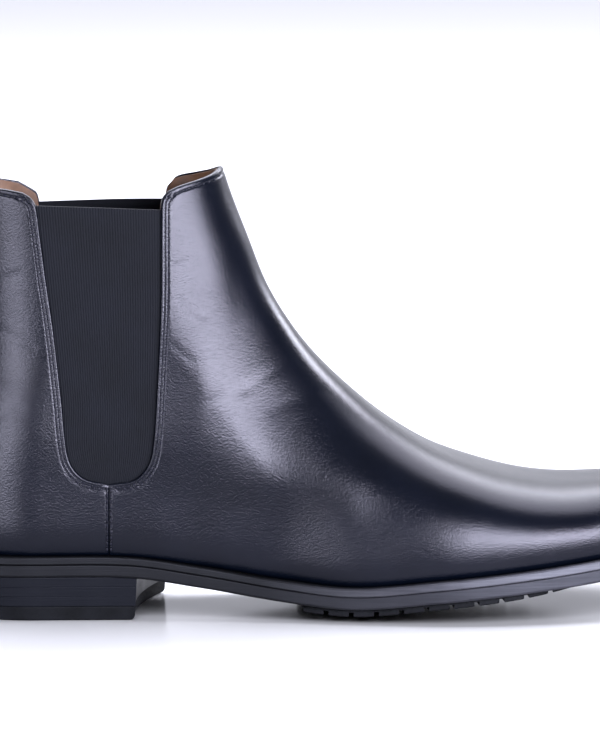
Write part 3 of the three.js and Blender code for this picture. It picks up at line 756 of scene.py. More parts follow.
def plain_fibre(name, dark, light, scale, rough):
    """Felt, cork, board: hidden materials with a simple two-tone grain."""
    n = new_look(name)
    grain = n.noise(scale, 5)
    tint = n.two_tone(grain, dark, light)
    return n.finish(Base_Color=tint, Roughness=rough, Normal=n.bump(grain, 0.4, 0.0003))


def spring_steel():
    """Brushed steel of the shank and the nails."""
    n = new_look("spring_steel")
    brush = n.noise(900, 3, n.stretch((0.1, 4, 4)))
    tint = n.blend(brush, colour(0.42, 0.43, 0.45), colour(0.6, 0.61, 0.63))
    return n.finish(Base_Color=tint, Roughness=n.ramp(brush, 0.3, 0.7, 0.28, 0.42), Metallic=1.0)


LEATHER_LOOK = upper_leather()
ELASTIC_LOOK = elastic_webbing()
LINING_LOOK = lining_leather()
# The last number is the share of the mean tone each edge keeps at the rear. It is painted shade, darkest on
# the welt and the sole.
WELT_LOOK = waxed_edge("waxed_welt", (0.028, 0.028, 0.035), (0.058, 0.058, 0.069), 0.36, 0.14, 0.22, 0.03)
SOLE_LOOK = waxed_edge("waxed_sole", (0.010, 0.010, 0.013), (0.024, 0.024, 0.030), 0.40, 0.13, 0.22, 0.07)
HEEL_LOOK = waxed_edge(
    "waxed_heel_stack", (0.0012, 0.0014, 0.0024), (0.0032, 0.0036, 0.0055), 0.40, 0.11, 0.37, 1.0,
)
RUBBER_LOOK = tread_rubber()
THREAD_LOOK = waxed_thread()
TAPE_LOOK = woven_tape()
FELT_LOOK = plain_fibre("grey_felt", (0.22, 0.20, 0.17), (0.42, 0.38, 0.33), 700, 0.95)
CORK_LOOK = plain_fibre("cork", (0.20, 0.11, 0.05), (0.50, 0.33, 0.17), 380, 0.9)
BOARD_LOOK = plain_fibre("insole_board", (0.30, 0.19, 0.10), (0.46, 0.31, 0.18), 500, 0.8)
STEEL_LOOK = spring_steel()


# ------------ upper pieces

def keep(piece, slot, *nodes):
    """Puts the piece on the boot's body in place of its CAD nodes. The slot is not used."""
    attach(piece, "root")
    if nodes:
        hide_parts(*nodes)
    return piece


def edge_polyline(curve, count=160):
    return curve(np.linspace(0, 1, count))


EDGE_RADIUS = 0.75
CHANNEL_DEPTH = 0.17
CHANNEL_WIDTH = 0.4
FINE_STEP = 0.22  # mesh spacing beside an edge
FINE_REACH = 4.4  # how far from the edge it stays that fine
TOP_SHARE = 0.02  # share of a simple sheet's height, below its top line, that has finer rows
SWELL_DEPTH = 0.09  # broad unevenness of the leather
PULL_DEPTH = 0.010  # short wrinkles where it was pulled over the last

# Soft hollows in the leather: (x, z) of both ends, depth and half width, all in mm.
CREASES = [
    ((116, 83), (131, 92), 0.07, 1.8), ((104, 80), (116, 84), 0.07, 2.0), ((93, 116), (101, 110), 0.10, 1.3),
    ((91, 128), (100, 131), 0.08, 1.2), ((90, 100), (97, 94), 0.08, 1.4), ((126, 76), (146, 82), 0.07, 2.4),
    ((12, 118), (34, 125), 0.13, 1.8), ((10, 96), (30, 88), 0.12, 2.2), ((26, 106), (40, 99), 0.10, 1.6),
    ((14, 70), (34, 77), 0.09, 2.4),
]


def edge_columns(width, rest):
    """Shares 0..1 across rows of the given widths, finely spaced in the first few mm."""
    fine = np.arange(0, FINE_REACH, FINE_STEP)[None, :] / width[:, None]
    start = FINE_REACH / width[:, None]
    return np.concatenate([fine, start + (1 - start) * closer_to_end(rest)[None, :]], axis=1)


def edge_steps(count):
    """0..1 in count steps, then closer ones just before 1."""
    return np.concatenate([np.linspace(0, 1 - TOP_SHARE, count), np.linspace(1 - TOP_SHARE, 1, 9)[1:]])


def panel_grid(place, rows, columns, top_height):
    """Side-view grid of a panel, fine along its left edge and its top line."""
    s = np.linspace(0, 1, 200)
    width = np.linalg.norm(place(s, np.ones(200)) - place(s, np.zeros(200)), axis=-1)
    column_share = edge_columns(np.full(1, width.mean()), columns)[0]
    height = mix(top_height[0], top_height[1], column_share)
    fine = np.arange(0, FINE_REACH, FINE_STEP)[::-1][:, None] / height[None, :]
    base = np.linspace(0, 1, rows)[:, None] * (1 - FINE_REACH / height[None, :])
    s_grid = np.concatenate([base, 1 - fine], axis=0)
    row_width = np.interp(s_grid.mean(axis=1), s, width)
    t_grid = edge_columns(row_width, columns)
    return place(s_grid, t_grid)


def noise_at(places):
    return np.array([noise.noise(Vector(place)) for place in places])


def leather_relief(points, xz):
    """Depth of the leather's own unevenness: broad swells, pull wrinkles and a few creases."""
    relief = np.zeros(xz.shape[:-1])
    for start, end, depth, half in CREASES:
        line = np.array([start, end], float)
        relief += depth * np.exp(-((distance_to(line, xz) / half) ** 2))
    flat = points.reshape(-1, 3)
    swell = noise_at(flat * 0.045)
    pull = noise_at(flat * (0.16, 0.16, 0.26) + (7, 0, 0))
    relief += (SWELL_DEPTH * swell + PULL_DEPTH * pull).reshape(relief.shape)
    return relief


def panel_depth(xz, edges, rows, relief):
    """Depth of a panel's outer face: rounded at its edges, pulled in along its stitch rows."""
    away = [distance_to(polyline, xz) for polyline in edges]
    depth = relief * smooth_step(np.minimum.reduce(away) / 6)
    for polyline, offsets in rows:
        distance = distance_to(polyline, xz)
        for offset in offsets:
            depth += CHANNEL_DEPTH * np.exp(-(((distance - offset) / CHANNEL_WIDTH) ** 2))
    for distance in away:
        depth = depth + rolled(distance, EDGE_RADIUS)
    return depth


def split_edge(curve):
    """The elastic's part and the seam's part of a panel edge, as polylines."""
    line = edge_polyline(curve)
    return line[line[:, 1] >= SEAM_TOP - 0.2], line[line[:, 1] <= SEAM_TOP + 0.1]


def panel_faces(side, place, edge, top, heights, rows, columns):
    """Outer and inner face of one side of a leather panel."""
    xz = panel_grid(place, rows, columns, heights)
    gore, seam = split_edge(edge)
    channels = [(gore, GORE_ROWS), (seam, (SEAM_ROW,)), (top, (TOP_ROW,))]
    plain = upper_points(xz, side, np.zeros(xz.shape[:-1]))
    depth = panel_depth(xz, [edge_polyline(edge), top], channels, leather_relief(plain, xz))
    return upper_points(xz, side, depth), upper_points(xz, side, np.maximum(depth, LEATHER))


def joined(sides):
    """Outer and inner faces of both sides, joined where their last columns meet."""
    for left, right in zip(*sides):
        middle = (left[:, -1:] + right[:, -1:]) / 2
        yield np.concatenate([left[:, :-1], middle, right[:, ::-1][:, 1:]], axis=1)


def front_piece():
    """Vamp and front quarter: one piece from the toe to the front edges of the elastics."""
    sides = []
    for side in (LATERAL, MEDIAL):
        top = edge_polyline(side_curve(front_top(side)))
        sides.append(panel_faces(side, front_patch(side), front_edge(side), top, (145, 290), 150, 130))
    return closed_sheet("upper_front_leather", *joined(sides), LEATHER_LOOK)


def quarter_piece(side, name):
    """One side's back quarter, ending in the middle of the back."""
    place = quarter_patch(side)

    def mirrored(s, t):
        return place(s, 1 - t)

    top = edge_polyline(side_curve(quarter_top(side)))
    faces = panel_faces(side, mirrored, quarter_edge(side), top, (148, 133), 130, 60)
    for points in faces:
        points[..., 1] = side * np.maximum(side * points[..., 1], BACK_SEAM_GAP)
    return closed_sheet(name, *faces, LEATHER_LOOK)


def elastic_piece(side, name):
    """Ribbed webbing that runs on a little way under the leather."""
    margin = GORE_MARGIN
    back_drop, front_drop = MEDIAL_GORE_TOP if side == MEDIAL else (0.0, 0.0)
    back = side_curve([
        (57.6 - margin, 46.5), (50 - margin, 62), (49.6 - margin, 80), (44.8 - margin, 123),
        (42.0 - margin, 150.1 + back_drop),
    ])
    front = side_curve([
        (77 + margin, 46.5), (84 + margin, 62), (84.9 + margin, 87), (86.2 + margin, 116),
        (86.8 + margin, 148.3 + front_drop),
    ])
    s = edge_steps(60)
    t = np.linspace(0, 1, RIB_COUNT * 8 + 1)
    xz = mix(back(s)[:, None, :], front(s)[:, None, :], t[None, :, None])
    wave = RIB_HEIGHT * np.abs(np.sin(math.pi * RIB_COUNT * t)) ** 0.6
    top = distance_to(xz[-1], xz)
    depth = GORE_DEPTH + RIB_HEIGHT - wave[None, :] + rolled(top, 0.5)
    outer = upper_points(xz, side, depth)
    inner = upper_points(xz, side, np.maximum(depth, GORE_DEPTH + GORE_THICKNESS))
    return closed_sheet(name, outer, inner, ELASTIC_LOOK)


def lining_piece(name, patch_of, ridge_end):
    """Lining of the front or the back, both sides in one, a little below the leather's top line."""
    s = edge_steps(90)
    t = closer_to_end(80) if ridge_end else 1 - closer_to_end(80)
    sides = []
    for side in (LATERAL, MEDIAL):
        xz = patch_of(side, 0.6, 0.5)(s[:, None], t[None, :])
        from_top = distance_to(xz[-1], xz)
        closing = np.exp(-((from_top / 5) ** 2)) * smooth_step(distance_to(xz[:, 0], xz) / 9)
        face = LINING_DEPTH - LINING_CLOSING * closing
        depth = face + rolled(from_top, 0.45)
        sides.append([upper_points(xz, side, d) for d in (depth, np.maximum(depth, face + LINING))])
    return closed_sheet(name, *joined(sides), LINING_LOOK)


def back_strip_piece():
    """Narrow leather strip over the back seam, with a row of stitches down each side."""
    foot = float(feather_line(BACK_FOOT_X)) + 0.3
    high = BACK_TOP + 0.2
    s = edge_steps(110)
    k = np.linspace(-1, 1, 41)
    z = mix(foot, high, s)[:, None]
    span = mix(STRIP_FOOT_WIDTH, STRIP_TOP_WIDTH, s)[:, None]
    reach = (span / shaft_half_width(z)) ** 2 * SHAFT_BACK_ROUND / 2
    x = back_line(z) + reach * (k * k)[None, :]
    xz = np.stack([x, np.broadcast_to(z, x.shape)], axis=-1)
    edge = (1 - np.abs(k))[None, :] * span
    top = np.broadcast_to(high - z, x.shape)
    roll = rolled(edge, 0.6) + rolled(top, 0.6)
    groove = CHANNEL_DEPTH * np.exp(-(((edge - STRIP_ROW) / CHANNEL_WIDTH) ** 2))
    depth = -1.1 + np.minimum(roll + groove, 1.2)

    def face(d):
        left = upper_points(xz, LATERAL, d)
        right = upper_points(xz, MEDIAL, d)
        return np.where((k < 0)[None, :, None], left, right)

    return closed_sheet("back_strip_leather", face(depth), face(np.full(depth.shape, 0.15)), LEATHER_LOOK)


def pull_loop():
    """Woven tape folded into a loop and sewn inside the back of the opening."""
    inside = float(back_line(157)) + LINING_DEPTH + LINING + 0.7
    path = side_curve([
        (inside + 1.6, 131), (inside + 0.6, 145), (inside - 0.2, 157), (inside - 0.9, 166),
        (inside - 2.0, 170.4), (inside - 3.0, 168.4), (inside - 3.0, 162), (inside - 2.6, 155),
        (inside - 2.4, 146),
    ])
    u = np.linspace(0, 1, 120)
    middle = path(u)
    step = np.gradient(middle, axis=0)
    step /= np.linalg.norm(step, axis=1, keepdims=True)
    normal = np.stack([step[:, 1], -step[:, 0]], axis=-1)
    y = np.linspace(-TAPE_HALF_WIDTH, TAPE_HALF_WIDTH, 69)
    flattening = 1 - 0.6 * smooth_step((u - 0.55) / 0.3)
    bow = 0.034 * (y * y)[None, :] * flattening[:, None]
    weave = 0.07 * np.cos(y * 2 * math.pi / TAPE_WEAVE)

    def face(offset, ribs):
        thick = offset + ribs * weave[None, :]
        x = middle[:, 0:1] + normal[:, 0:1] * thick + bow
        z = middle[:, 1:2] + normal[:, 1:2] * thick
        return np.stack([x, np.broadcast_to(y[None, :], x.shape), z], axis=-1)

    return closed_sheet("pull_loop", face(0.55, 1), face(-0.55, -1), TAPE_LOOK)


# ------------ stitches

def thread_mesh(name, centres, along, up, length, radius, look):
    """One mesh of short thread humps, each on its own place, direction and outward normal."""
    rings = around = 7
    u = np.linspace(-1, 1, rings)[:, None]
    fat = radius * np.sqrt(np.maximum(1 - u**2 * 0.96, 0.02)) ** 0.8
    dive = -0.35 * radius * u**2
    turn = np.linspace(0, 2 * math.pi, around, endpoint=False)[:, None]
    along = along / np.linalg.norm(along, axis=1, keepdims=True)
    up = up - (up * along).sum(1, keepdims=True) * along
    up = up / np.linalg.norm(up, axis=1, keepdims=True)
    side = np.cross(along, up)
    centres, along, up, side = (rows[:, None] for rows in (centres, along, up, side))
    middle = centres + along * u * length / 2 + up * dive
    out = side * np.cos(turn) + up * np.sin(turn)
    skin = middle[:, :, None] + out[:, None] * fat[:, None]
    tips = centres + along * u[[0, -1]] * length * 0.52 + up * dive[[0, -1]]
    points = np.concatenate([skin.reshape(len(skin), -1, 3), tips], axis=1)

    size = rings * around
    hump = grid_faces(rings, around, ring_columns=True)
    for k in range(around):
        k2 = (k + 1) % around
        hump += [[size, k, k2], [size + 1, size - around + k2, size - around + k]]
    bases = np.arange(len(points)) * (size + 2)
    faces = [[base + corner for corner in face] for base in bases for face in hump]
    return make_outward(mesh_object(name, points.reshape(-1, 3), faces, look))


def even_places(polyline):
    """Middles and directions of stitches at an even pitch along a side-view polyline."""
    along = distance_along(polyline)
    length = along[-1] - 2 * ROW_TRIM
    count = max(int(length / STITCH_PITCH), 1)
    places = ROW_TRIM + (np.arange(count) + 0.5) * length / count
    middle = np.stack([np.interp(places, along, polyline[:, k]) for k in (0, 1)], axis=-1)
    ahead = np.stack([np.interp(places + 0.3, along, polyline[:, k]) for k in (0, 1)], axis=-1)
    return middle, ahead - middle


def offset_polyline(polyline, distance):
    """The polyline moved sideways, to its left as it runs, without crossing itself."""
    step = np.gradient(polyline, axis=0)
    step /= np.maximum(np.linalg.norm(step, axis=1, keepdims=True), 1e-9)
    moved = polyline + np.stack([-step[:, 1], step[:, 0]], axis=-1) * distance
    near = distance_to(polyline, moved)
    return moved[near > abs(distance) * 0.97]


def stitch_row(name, polyline, side, depth=0.14, puckers=True):
    """A row of stitches and the humps of leather pulled up between them."""
    middle, step = even_places(polyline)
    between = (middle[1:] + middle[:-1]) / 2
    rows = [(name, middle, step, depth, 0.66, STITCH_RADIUS, THREAD_LOOK, "thread")]
    if puckers:
        hump = (depth + 0.02, 0.42, PUCKER_RADIUS, LEATHER_LOOK, "upper_leather")
        rows.append((name + "_puckers", between, step[1:], *hump))
    for label, places, steps, low, share, radius, look, slot in rows:
        centre = upper_points(places, side, np.full(len(places), low))
        ahead = upper_points(places + steps, side, np.full(len(places), low))
        inside = upper_points(places, side, np.full(len(places), low + 1.0))
        length = STITCH_PITCH * share
        keep(thread_mesh(label, centre, ahead - centre, centre - inside, length, radius, look), slot)


def side_stitches(side, label):
    """Two rows round each elastic, one beside each edge of the side seam and one under the top line."""
    edges = (("front", 1, front_edge(side)), ("quarter", -1, quarter_edge(side)))
    for number, offset in enumerate(GORE_ROWS, 1):
        for name, way, edge in edges:
            row = offset_polyline(edge_polyline(edge, 400), -way * offset)
            above = row[:, 1] > SEAM_TOP - offset - 0.1
            beside = way * (row[:, 0] - SEAM_X) > SEAM_ROW + 0.4
            stitch_row(f"stitch_{name}_{label}_{number}", row[above & beside], side)
    for name, way, _ in edges:
        x = SEAM_X + way * SEAM_ROW
        heights = np.linspace(float(feather_line(x)) + 0.8, SEAM_TOP - 0.2, 60)
        row = np.stack([np.full(60, x), heights], axis=-1)
        stitch_row(f"stitch_seam_{name}_{label}", row, side, depth=0.0)
    row = offset_polyline(edge_polyline(side_curve(front_top(side)), 200), -TOP_ROW)
    clear = ridge_place(row[:, 1]) - row[:, 0] > 0.3
    stitch_row(f"stitch_top_front_{label}", row[clear], side, puckers=False)
    row = offset_polyline(edge_polyline(side_curve(quarter_top(side)), 200), -TOP_ROW)
    clear = row[:, 0] - back_line(row[:, 1]) > 2.2
    stitch_row(f"stitch_top_quarter_{label}", row[clear], side, puckers=False)


def strip_stitches(side, label):
    """A row down one side of the back strip."""
    foot, high = float(feather_line(BACK_FOOT_X)) + 2, BACK_TOP - 2
    z = np.linspace(foot, high, 200)
    span = mix(STRIP_FOOT_WIDTH, STRIP_TOP_WIDTH, (z - foot) / (high - foot)) - STRIP_ROW
    x = back_line(z) + (span / shaft_half_width(z)) ** 2 * SHAFT_BACK_ROUND / 2
    stitch_row(f"stitch_strip_{label}", np.stack([x, z], axis=-1), side, depth=-0.95, puckers=False)


# ------------ sole and heel

def outline_ring(first, last):
    """Closed plan outline of the sole, outer side first, `first` mm inside at the heel, `last` at the toe."""
    turn = np.linspace(0, math.pi, 220)
    x = mix(first, SOLE_LENGTH - last, (1 - np.cos(turn)) / 2)
    width = mix(half_width(x, first), half_width(x, last), share_over(SOLE_INSET_ZONE, x))
    low = np.stack([x, centre_line(x) - width], axis=-1)
    high = np.stack([x, centre_line(x) + width], axis=-1)
    return np.concatenate([low, high[::-1][1:-1]])


def ring_rows(base, profile):
    """Closed outlines, one row for each (heel inset, toe inset, height above the base line)."""
    rows = []
    for first, last, height in profile:
        plan = outline_ring(first, last)
        rows.append(np.concatenate([plan, base(plan[:, 0:1]) + height], axis=1))
    return np.stack(rows)


def closed_band(name, rows, material):
    """A closed ring of any section: rows go round the section, columns round the outline."""
    count, columns = rows.shape[:2]
    faces = grid_faces(count, columns, ring_rows=True, ring_columns=True)
    return make_outward(mesh_object(name, rows.reshape(-1, 3), faces, material))


def capped_band(name, rows, lower, upper, material):
    """A solid whose wall is rows of outlines, closed by a lower and an upper face grid."""
    count, columns = rows.shape[:2]
    points = [rows.reshape(-1, 3)]
    faces = grid_faces(count, columns, ring_columns=True)
    half = columns // 2 + 1
    for row, height in ((0, lower), (count - 1, upper)):
        across = 13
        start = sum(len(p) for p in points)
        outer_side = rows[row, :half]
        inner_side = np.concatenate([rows[row, half - 1:], rows[row, :1]])[::-1]
        k = np.linspace(0, 1, across)[None, :, None]
        cap = mix(outer_side[:, None, :], inner_side[:, None, :], k)
        cap[:, 1:-1, 2] = height(cap[:, 1:-1, 0], 2 * k[:, 1:-1, 0] - 1)
        points.append(cap.reshape(-1, 3))
        grid = grid_faces(half, across, start)
        faces += grid if row == 0 else [face[::-1] for face in grid]
    return make_outward(mesh_object(name, np.concatenate(points), faces, material))


def welt_piece():
    """Welt with rounded outer edge, closed on itself round the boot."""
    rows = ring_rows(outsole_top, [
        (WELT_INNER_INSET, WELT_INNER_INSET, 0.05), (0.55, 1.0, 0.05), (0.24, 0.62, 0.18), (0.14, 0.54, 0.42),
        (0.14, 0.57, 0.60), (0.14, 0.89, 2.22), (0.14, 0.92, 2.40), (0.28, 1.10, 2.72), (0.60, 1.45, 2.92),
        (1.3, 2.1, 2.96), (WELT_INNER_INSET, WELT_INNER_INSET, 2.96),
    ])
    return closed_band("welt_strip", rows, WELT_LOOK)


def outsole_piece():
    """Outsole with rounded edges; its lower face bulges down in the middle."""
    rows = ring_rows(sole_edge, [
        (0.9, 0.9, 0.0), (0.35, 0.35, 0.12), (0.06, 0.06, 0.45), (0.0, 0.0, 0.9), (0.0, 0.02, 1.1),
        (0.0, 0.28, 4.0), (0.0, 0.30, 4.2), (0.10, 0.42, 4.45), (0.35, 0.65, 4.58), (0.8, 1.1, 4.6),
    ])
    return capped_band("outsole_leather", rows, sole_bottom, lambda x, s: outsole_top(x) - 0.02, SOLE_LOOK)


def tread_share(x):
    """Share of its full depth that the rubber has at x: it is thinner under the toe."""
    return 1 - 0.5 * share_over(TREAD_THINNING, x)


def tread_half_width(x):
    """Half width of the rubber: it draws in from the sole's edge towards the toe."""
    inset = mix(TREAD_INSET, TREAD_TOE_INSET, share_over(TREAD_NARROWING, x))
    return np.maximum(half_width(x, 0.0) - inset, 2.0)


def lug_corner(x, s, inward, drop):
    """A point of a lug at station x and share s of the width, drop below the rubber's sheet."""
    width = float(tread_half_width(x))
    y = float(centre_line(x)) + s * width + inward
    bottom = float(sole_bottom(x, s * width / max(float(half_width(x, 0.0)), 1)))
    share = float(tread_share(x))
    top = bottom - (TREAD_DEPTH - LUG_HEIGHT) * share
    return (x, y, top + 0.3 if drop == 0 else top + drop * share)


def lug_block(x0, x1, s0, s1):
    """One chamfered lug of the tread, between two stations and two shares of the width."""
    chamfer = 0.35
    u = np.linspace(0, 1, 5)
    loops = []
    for drop, inward in ((0.0, 0.0), (chamfer - LUG_HEIGHT, 0.0), (-LUG_HEIGHT, chamfer)):
        low, high = x0 + inward, x1 - inward
        ring = [(mix(low, high, a), s0, inward) for a in u]
        ring += [(high, mix(s0, s1, a), 0) for a in u[1:]]
        ring += [(mix(high, low, a), s1, -inward) for a in u[1:]]
        ring += [(low, mix(s1, s0, a), 0) for a in u[1:-1]]
        loops.append([lug_corner(x, s, shift, drop) for x, s, shift in ring])
    return loops


def tread_piece():
    """Studded rubber: rows of lugs under the ball and toe, wide ones at the rim."""
    points, faces = [], []
    pitch = LUG_LENGTH + LUG_GAP
    count = int((TREAD_END - TREAD_START + LUG_GAP) / pitch)
    for i in range(count):
        start = TREAD_START + i * pitch
        for s0, s1 in LUG_SHARES:
            loops = lug_block(start, start + LUG_LENGTH, s0, s1)
            base = len(points)
            size = len(loops[0])
            for ring in loops:
                points += ring
            faces += grid_faces(len(loops), size, base, ring_columns=True)
            faces.append(list(range(base, base + size)))
            faces.append(list(range(base + 2 * size, base + 3 * size))[::-1])
    return mesh_object("tread_lugs", np.array(points), faces, RUBBER_LOOK, smooth=False)


def tread_base():
    """The thin rubber sheet that the lugs stand on."""
    x = mix(TREAD_START, TREAD_END, closer_to_end(90, 0.7))[:, None]
    s = np.linspace(-1, 1, 25)[None, :]
    width = tread_half_width(x)
    y = centre_line(x) + s * width
    top = sole_bottom(x, s * width / np.maximum(half_width(x, 0.0), 1))
    x = np.broadcast_to(x, y.shape)
    upper = np.stack([x, y, top + 0.05], axis=-1)
    lower = np.stack([x, y, top - (TREAD_DEPTH - LUG_HEIGHT) * tread_share(x)], axis=-1)
    return closed_sheet("tread_sheet", lower, upper, RUBBER_LOOK)


def heel_ring(z, inset):
    """Plan outline of the heel at one height: round back, hollow and skewed breast, rounded lower front."""
    low = np.clip(1 - z / BREAST_ROUND, 0, 1)
    front_x = BREAST_X - inset * 0.4 - BREAST_ROUND * (1 - math.sqrt(1 - low**2))
    t = np.linspace(0, math.pi / 2, 60)
    widths = []
    for s in (-1, 1):
        x = mix(inset, front_x + BREAST_SKEW * s * BREAST_HALF_WIDTH, 1 - np.cos(t))
        widths.append(np.stack([x, centre_line(x) + s * half_width(x, inset)], axis=-1))
    k = np.linspace(-1, 1, 26)[1:-1]
    front = front_x + BREAST_SKEW * k * BREAST_HALF_WIDTH - BREAST_HOLLOW * (1 - k * k)
    breast = np.stack([front, centre_line(front) + k * half_width(front, inset)], axis=-1)
    plan = np.concatenate([widths[0], breast, widths[1][::-1][:-1]])
    return np.concatenate([plan, np.full((len(plan), 1), z)], axis=1)


def heel_inset(z):
    """How far the heel's wall lies inside the sole's edge: less towards the sole."""
    return HEEL_INSET + HEEL_TAPER * (HEEL_HEIGHT - z)


def heel_layer(name, low, high, material, edge=0.07):
    """One layer of the heel with slightly broken edges."""
    hold = 0.12  # keeps the wall flat beside the broken edge
    levels = [(low, edge), (low + edge * 0.35, edge * 0.35), (low + edge, 0), (low + edge + hold, 0)]
    levels += [(z, 0) for z in np.linspace(low + edge + hold, high - edge - hold, 7)[1:-1]]
    levels += [(high - edge - hold, 0), (high - edge, 0), (high - edge * 0.35, edge * 0.35), (high, edge)]
    rows = np.stack([heel_ring(z, heel_inset(z) + extra) for z, extra in levels])
    rows[..., 2] = np.minimum(rows[..., 2], sole_edge(rows[..., 0]) + 0.02)  # ends at the outsole's edge
    count, columns = rows.shape[:2]
    faces = grid_faces(count, columns, ring_columns=True)
    faces += [list(range(columns)), list(range((count - 1) * columns, count * columns))[::-1]]
    piece = make_outward(mesh_object(name, rows.reshape(-1, 3), faces, material))
    piece.data.set_sharp_from_angle(angle=math.radians(32))
    return piece


def sock_piece():
    """The sock liner that shows down the shaft, raised over the heel pad and at its rim."""
    u = np.linspace(0, math.pi, 110)
    x = mix(SOCK_INSET, SOLE_LENGTH - SOCK_INSET - 2, (1 - np.cos(u)) / 2)[:, None]
    s = np.linspace(-1, 1, 25)[None, :]
    y = centre_line(x) + s * half_width(x, SOCK_INSET)
    pad = HEEL_PAD * (1 - share_over(HEEL_PAD_END, x))
    rim = SOCK_RIM * s**4
    high = welt_top(x) + SOCK_ABOVE_WELT + pad + rim
    x = np.broadcast_to(x, y.shape)
    top = np.stack([x, y, high], axis=-1)
    low = np.stack([x, y, high - SOCK_THICKNESS - rim], axis=-1)
    return closed_sheet("sock_liner_leather", top, low, LINING_LOOK)


# ------------ assembly of the boot

def build_upper():
    """Leather, elastic, lining, tape and every row of stitches."""
    sides = ((LATERAL, "lateral"), (MEDIAL, "medial"))
    keep(front_piece(), "upper_leather", "upper_front")
    for side, label in sides:
        keep(quarter_piece(side, f"quarter_{label}_leather"), "upper_leather", f"quarter_{label}")
    for side, label in sides:
        keep(elastic_piece(side, f"gore_{label}_elastic"), "elastic", f"gore_{label}")
    keep(lining_piece("lining_front_leather", front_patch, True), "lining_leather", "lining_front")
    keep(lining_piece("lining_quarter_leather", quarter_patch, False), "lining_leather", "lining_quarter")
    keep(back_strip_piece(), "upper_leather", "back_strip")
    keep(pull_loop(), "tape", "pull_tab")
    for side, label in sides:
        side_stitches(side, label)
        strip_stitches(side, label)


def build_sole():
    """Welt, outsole, studded rubber, heel and sock liner."""
    keep(welt_piece(), "welt_leather", "welt")
    keep(outsole_piece(), "sole_leather", "outsole")
    keep(tread_base(), "sole_rubber", "forepart_tread")
    keep(tread_piece(), "sole_rubber")
    lift = (HEEL_HEIGHT - TOP_PIECE) / LIFT_COUNT
    for number in range(LIFT_COUNT, 0, -1):  # number 1 lies under the sole
        low = TOP_PIECE + (LIFT_COUNT - number) * lift
        layer = heel_layer(f"heel_layer_{number}", low + 0.01, low + lift - 0.01, HEEL_LOOK)
        keep(layer, "heel_leather", f"heel_lift_{number}")
    keep(heel_layer("heel_top_piece", 0.0, TOP_PIECE - 0.05, RUBBER_LOOK, 0.5), "sole_rubber", "top_piece")
    keep(sock_piece(), "lining_leather", "sock_liner")


def dress_hidden_nodes():
    """Looks for the CAD nodes that stay as they are, inside the boot."""
    looks = {
        "toe_puff": FELT_LOOK, "heel_counter": FELT_LOOK, "heel_pad": FELT_LOOK,
        "insole_board": BOARD_LOOK, "cork_filler": CORK_LOOK, "shank": STEEL_LOOK,
    }
    looks.update({f"heel_nail_{i}": STEEL_LOOK for i in range(1, 6)})
    for node, look in looks.items():
        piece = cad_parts[node]
        piece.data.materials.clear()
        piece.data.materials.append(look)


# ------------ stage, light and camera

FLOOR_REACH = 9.0
FRONT_GLOW = 0.18
BACK_GLOW = 1.25
TOP_GLOW = 0.3
COOL = (0.88, 0.89, 1.0)


def build_stage():
    """A wide pale floor with a soft mirror in it."""
    n = new_look("pale_floor")
    look = n.finish(Base_Color=colour(0.76, 0.76, 0.76), Roughness=0.16, Specular_IOR_Level=0.08)
    corners = [(x * FLOOR_REACH, y * FLOOR_REACH, 0) for x, y in ((-1, -1), (1, -1), (1, 1), (-1, 1))]
    mesh = bpy.data.meshes.new("floor")
    mesh.from_pydata(corners, [], [(0, 1, 2, 3)])
    mesh.materials.append(look)
    floor = bpy.data.objects.new("floor", mesh)
    bpy.context.scene.collection.objects.link(floor)


def area_light(name, place, target, size, power):
    data = bpy.data.lights.new(name, "AREA")
    data.shape = "RECTANGLE"
    data.size, data.size_y = size
    data.energy = power
    data.color = COOL
    light = bpy.data.objects.new(name, data)
    light.location = place
    aim = Vector(target) - Vector(place)
    light.rotation_euler = aim.to_track_quat("-Z", "Y").to_euler()
    bpy.context.scene.collection.objects.link(light)
    return light


def build_world():
    """A studio: bright behind the boot and overhead, dark in front of it."""
    n = Nodes(bpy.data.worlds.new("soft_studio"), "Generated")
    bpy.context.scene.world = n.owner
    split = n.add("ShaderNodeSeparateXYZ", {"Vector": n.place})
    behind = n.ramp(split.outputs["Y"], 0.25, 0.75, FRONT_GLOW, BACK_GLOW, "SMOOTHSTEP")
    above = n.ramp(split.outputs["Z"], 0.55, 0.95, 0.0, TOP_GLOW, "SMOOTHSTEP")
    background = n.tree.nodes["Background"]
    n.set(background.inputs["Strength"], n.math("ADD", behind, above))
    n.set(background.inputs["Color"], colour(*COOL))


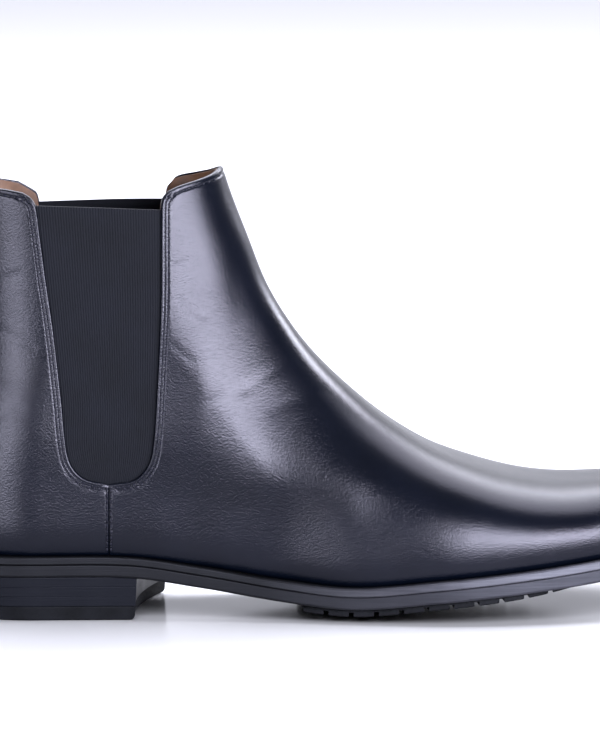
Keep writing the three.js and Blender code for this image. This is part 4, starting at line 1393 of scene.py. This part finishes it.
def link_floor(name, state, *lights):
    """Lets the lights shine on the floor alone (INCLUDE) or on all but the floor (EXCLUDE)."""
    receivers = bpy.data.collections.new(name)
    receivers.objects.link(bpy.data.objects["floor"])
    receivers.collection_objects[0].light_linking.link_state = state
    for light in lights:
        light.light_linking.receiver_collection = receivers


def build_light():
    """Two softboxes that draw the highlights, two from behind, and a fill that keeps the floor white."""
    build_world()
    main = area_light("main_softbox", (0.67, -1.15, 0.35), (0.0, 0.0, 0.11), (1.52, 0.36), 92)
    left = area_light("left_softbox", (-0.74, -1.03, 0.13), (-0.12, 0.0, 0.09), (0.46, 0.28), 12)
    area_light("top_softbox", (0.25, 1.10, 1.35), (0.25, 1.08, 0.05), (1.7, 2.4), 92)
    area_light("rim_softbox", (1.0, 0.85, 0.75), (0.0, 0, 0.1), (0.34, 0.50), 16)
    fill = area_light("floor_fill", (0.3, -2.2, 1.6), (0.1, 0.0, 0.0), (2.6, 1.6), 90)
    link_floor("kept_off_the_floor", "EXCLUDE", main, left)
    link_floor("floor_alone", "INCLUDE", fill)


CAMERA_DISTANCE = 2.12
CAMERA_DROP = math.radians(7.2)
CAMERA_TURN = math.radians(2.0)
CAMERA_TARGET = (137.0, 0.0, 87.5)
PICTURE_SCALE = 2.74  # picture points per mm at the target
PICTURE_HEIGHT = 737


def build_camera():
    data = bpy.data.cameras.new("camera")
    focal_points = PICTURE_SCALE * CAMERA_DISTANCE / MM
    data.sensor_fit = "AUTO"
    data.sensor_width = 36.0
    data.lens = focal_points / PICTURE_HEIGHT * data.sensor_width
    data.clip_start = 0.05
    data.clip_end = 50
    camera = bpy.data.objects.new("camera", data)
    aim = Vector((
        math.sin(CAMERA_TURN) * math.cos(CAMERA_DROP),
        math.cos(CAMERA_TURN) * math.cos(CAMERA_DROP),
        -math.sin(CAMERA_DROP),
    ))
    camera.location = Vector(to_frame(CAMERA_TARGET)) - aim * CAMERA_DISTANCE
    camera.rotation_euler = aim.to_track_quat("-Z", "Y").to_euler()
    bpy.context.scene.collection.objects.link(camera)
    bpy.context.scene.camera = camera


build_upper()
build_sole()
dress_hidden_nodes()
build_stage()
build_light()
build_camera()
bpy.context.scene.view_settings.view_transform = "Standard"
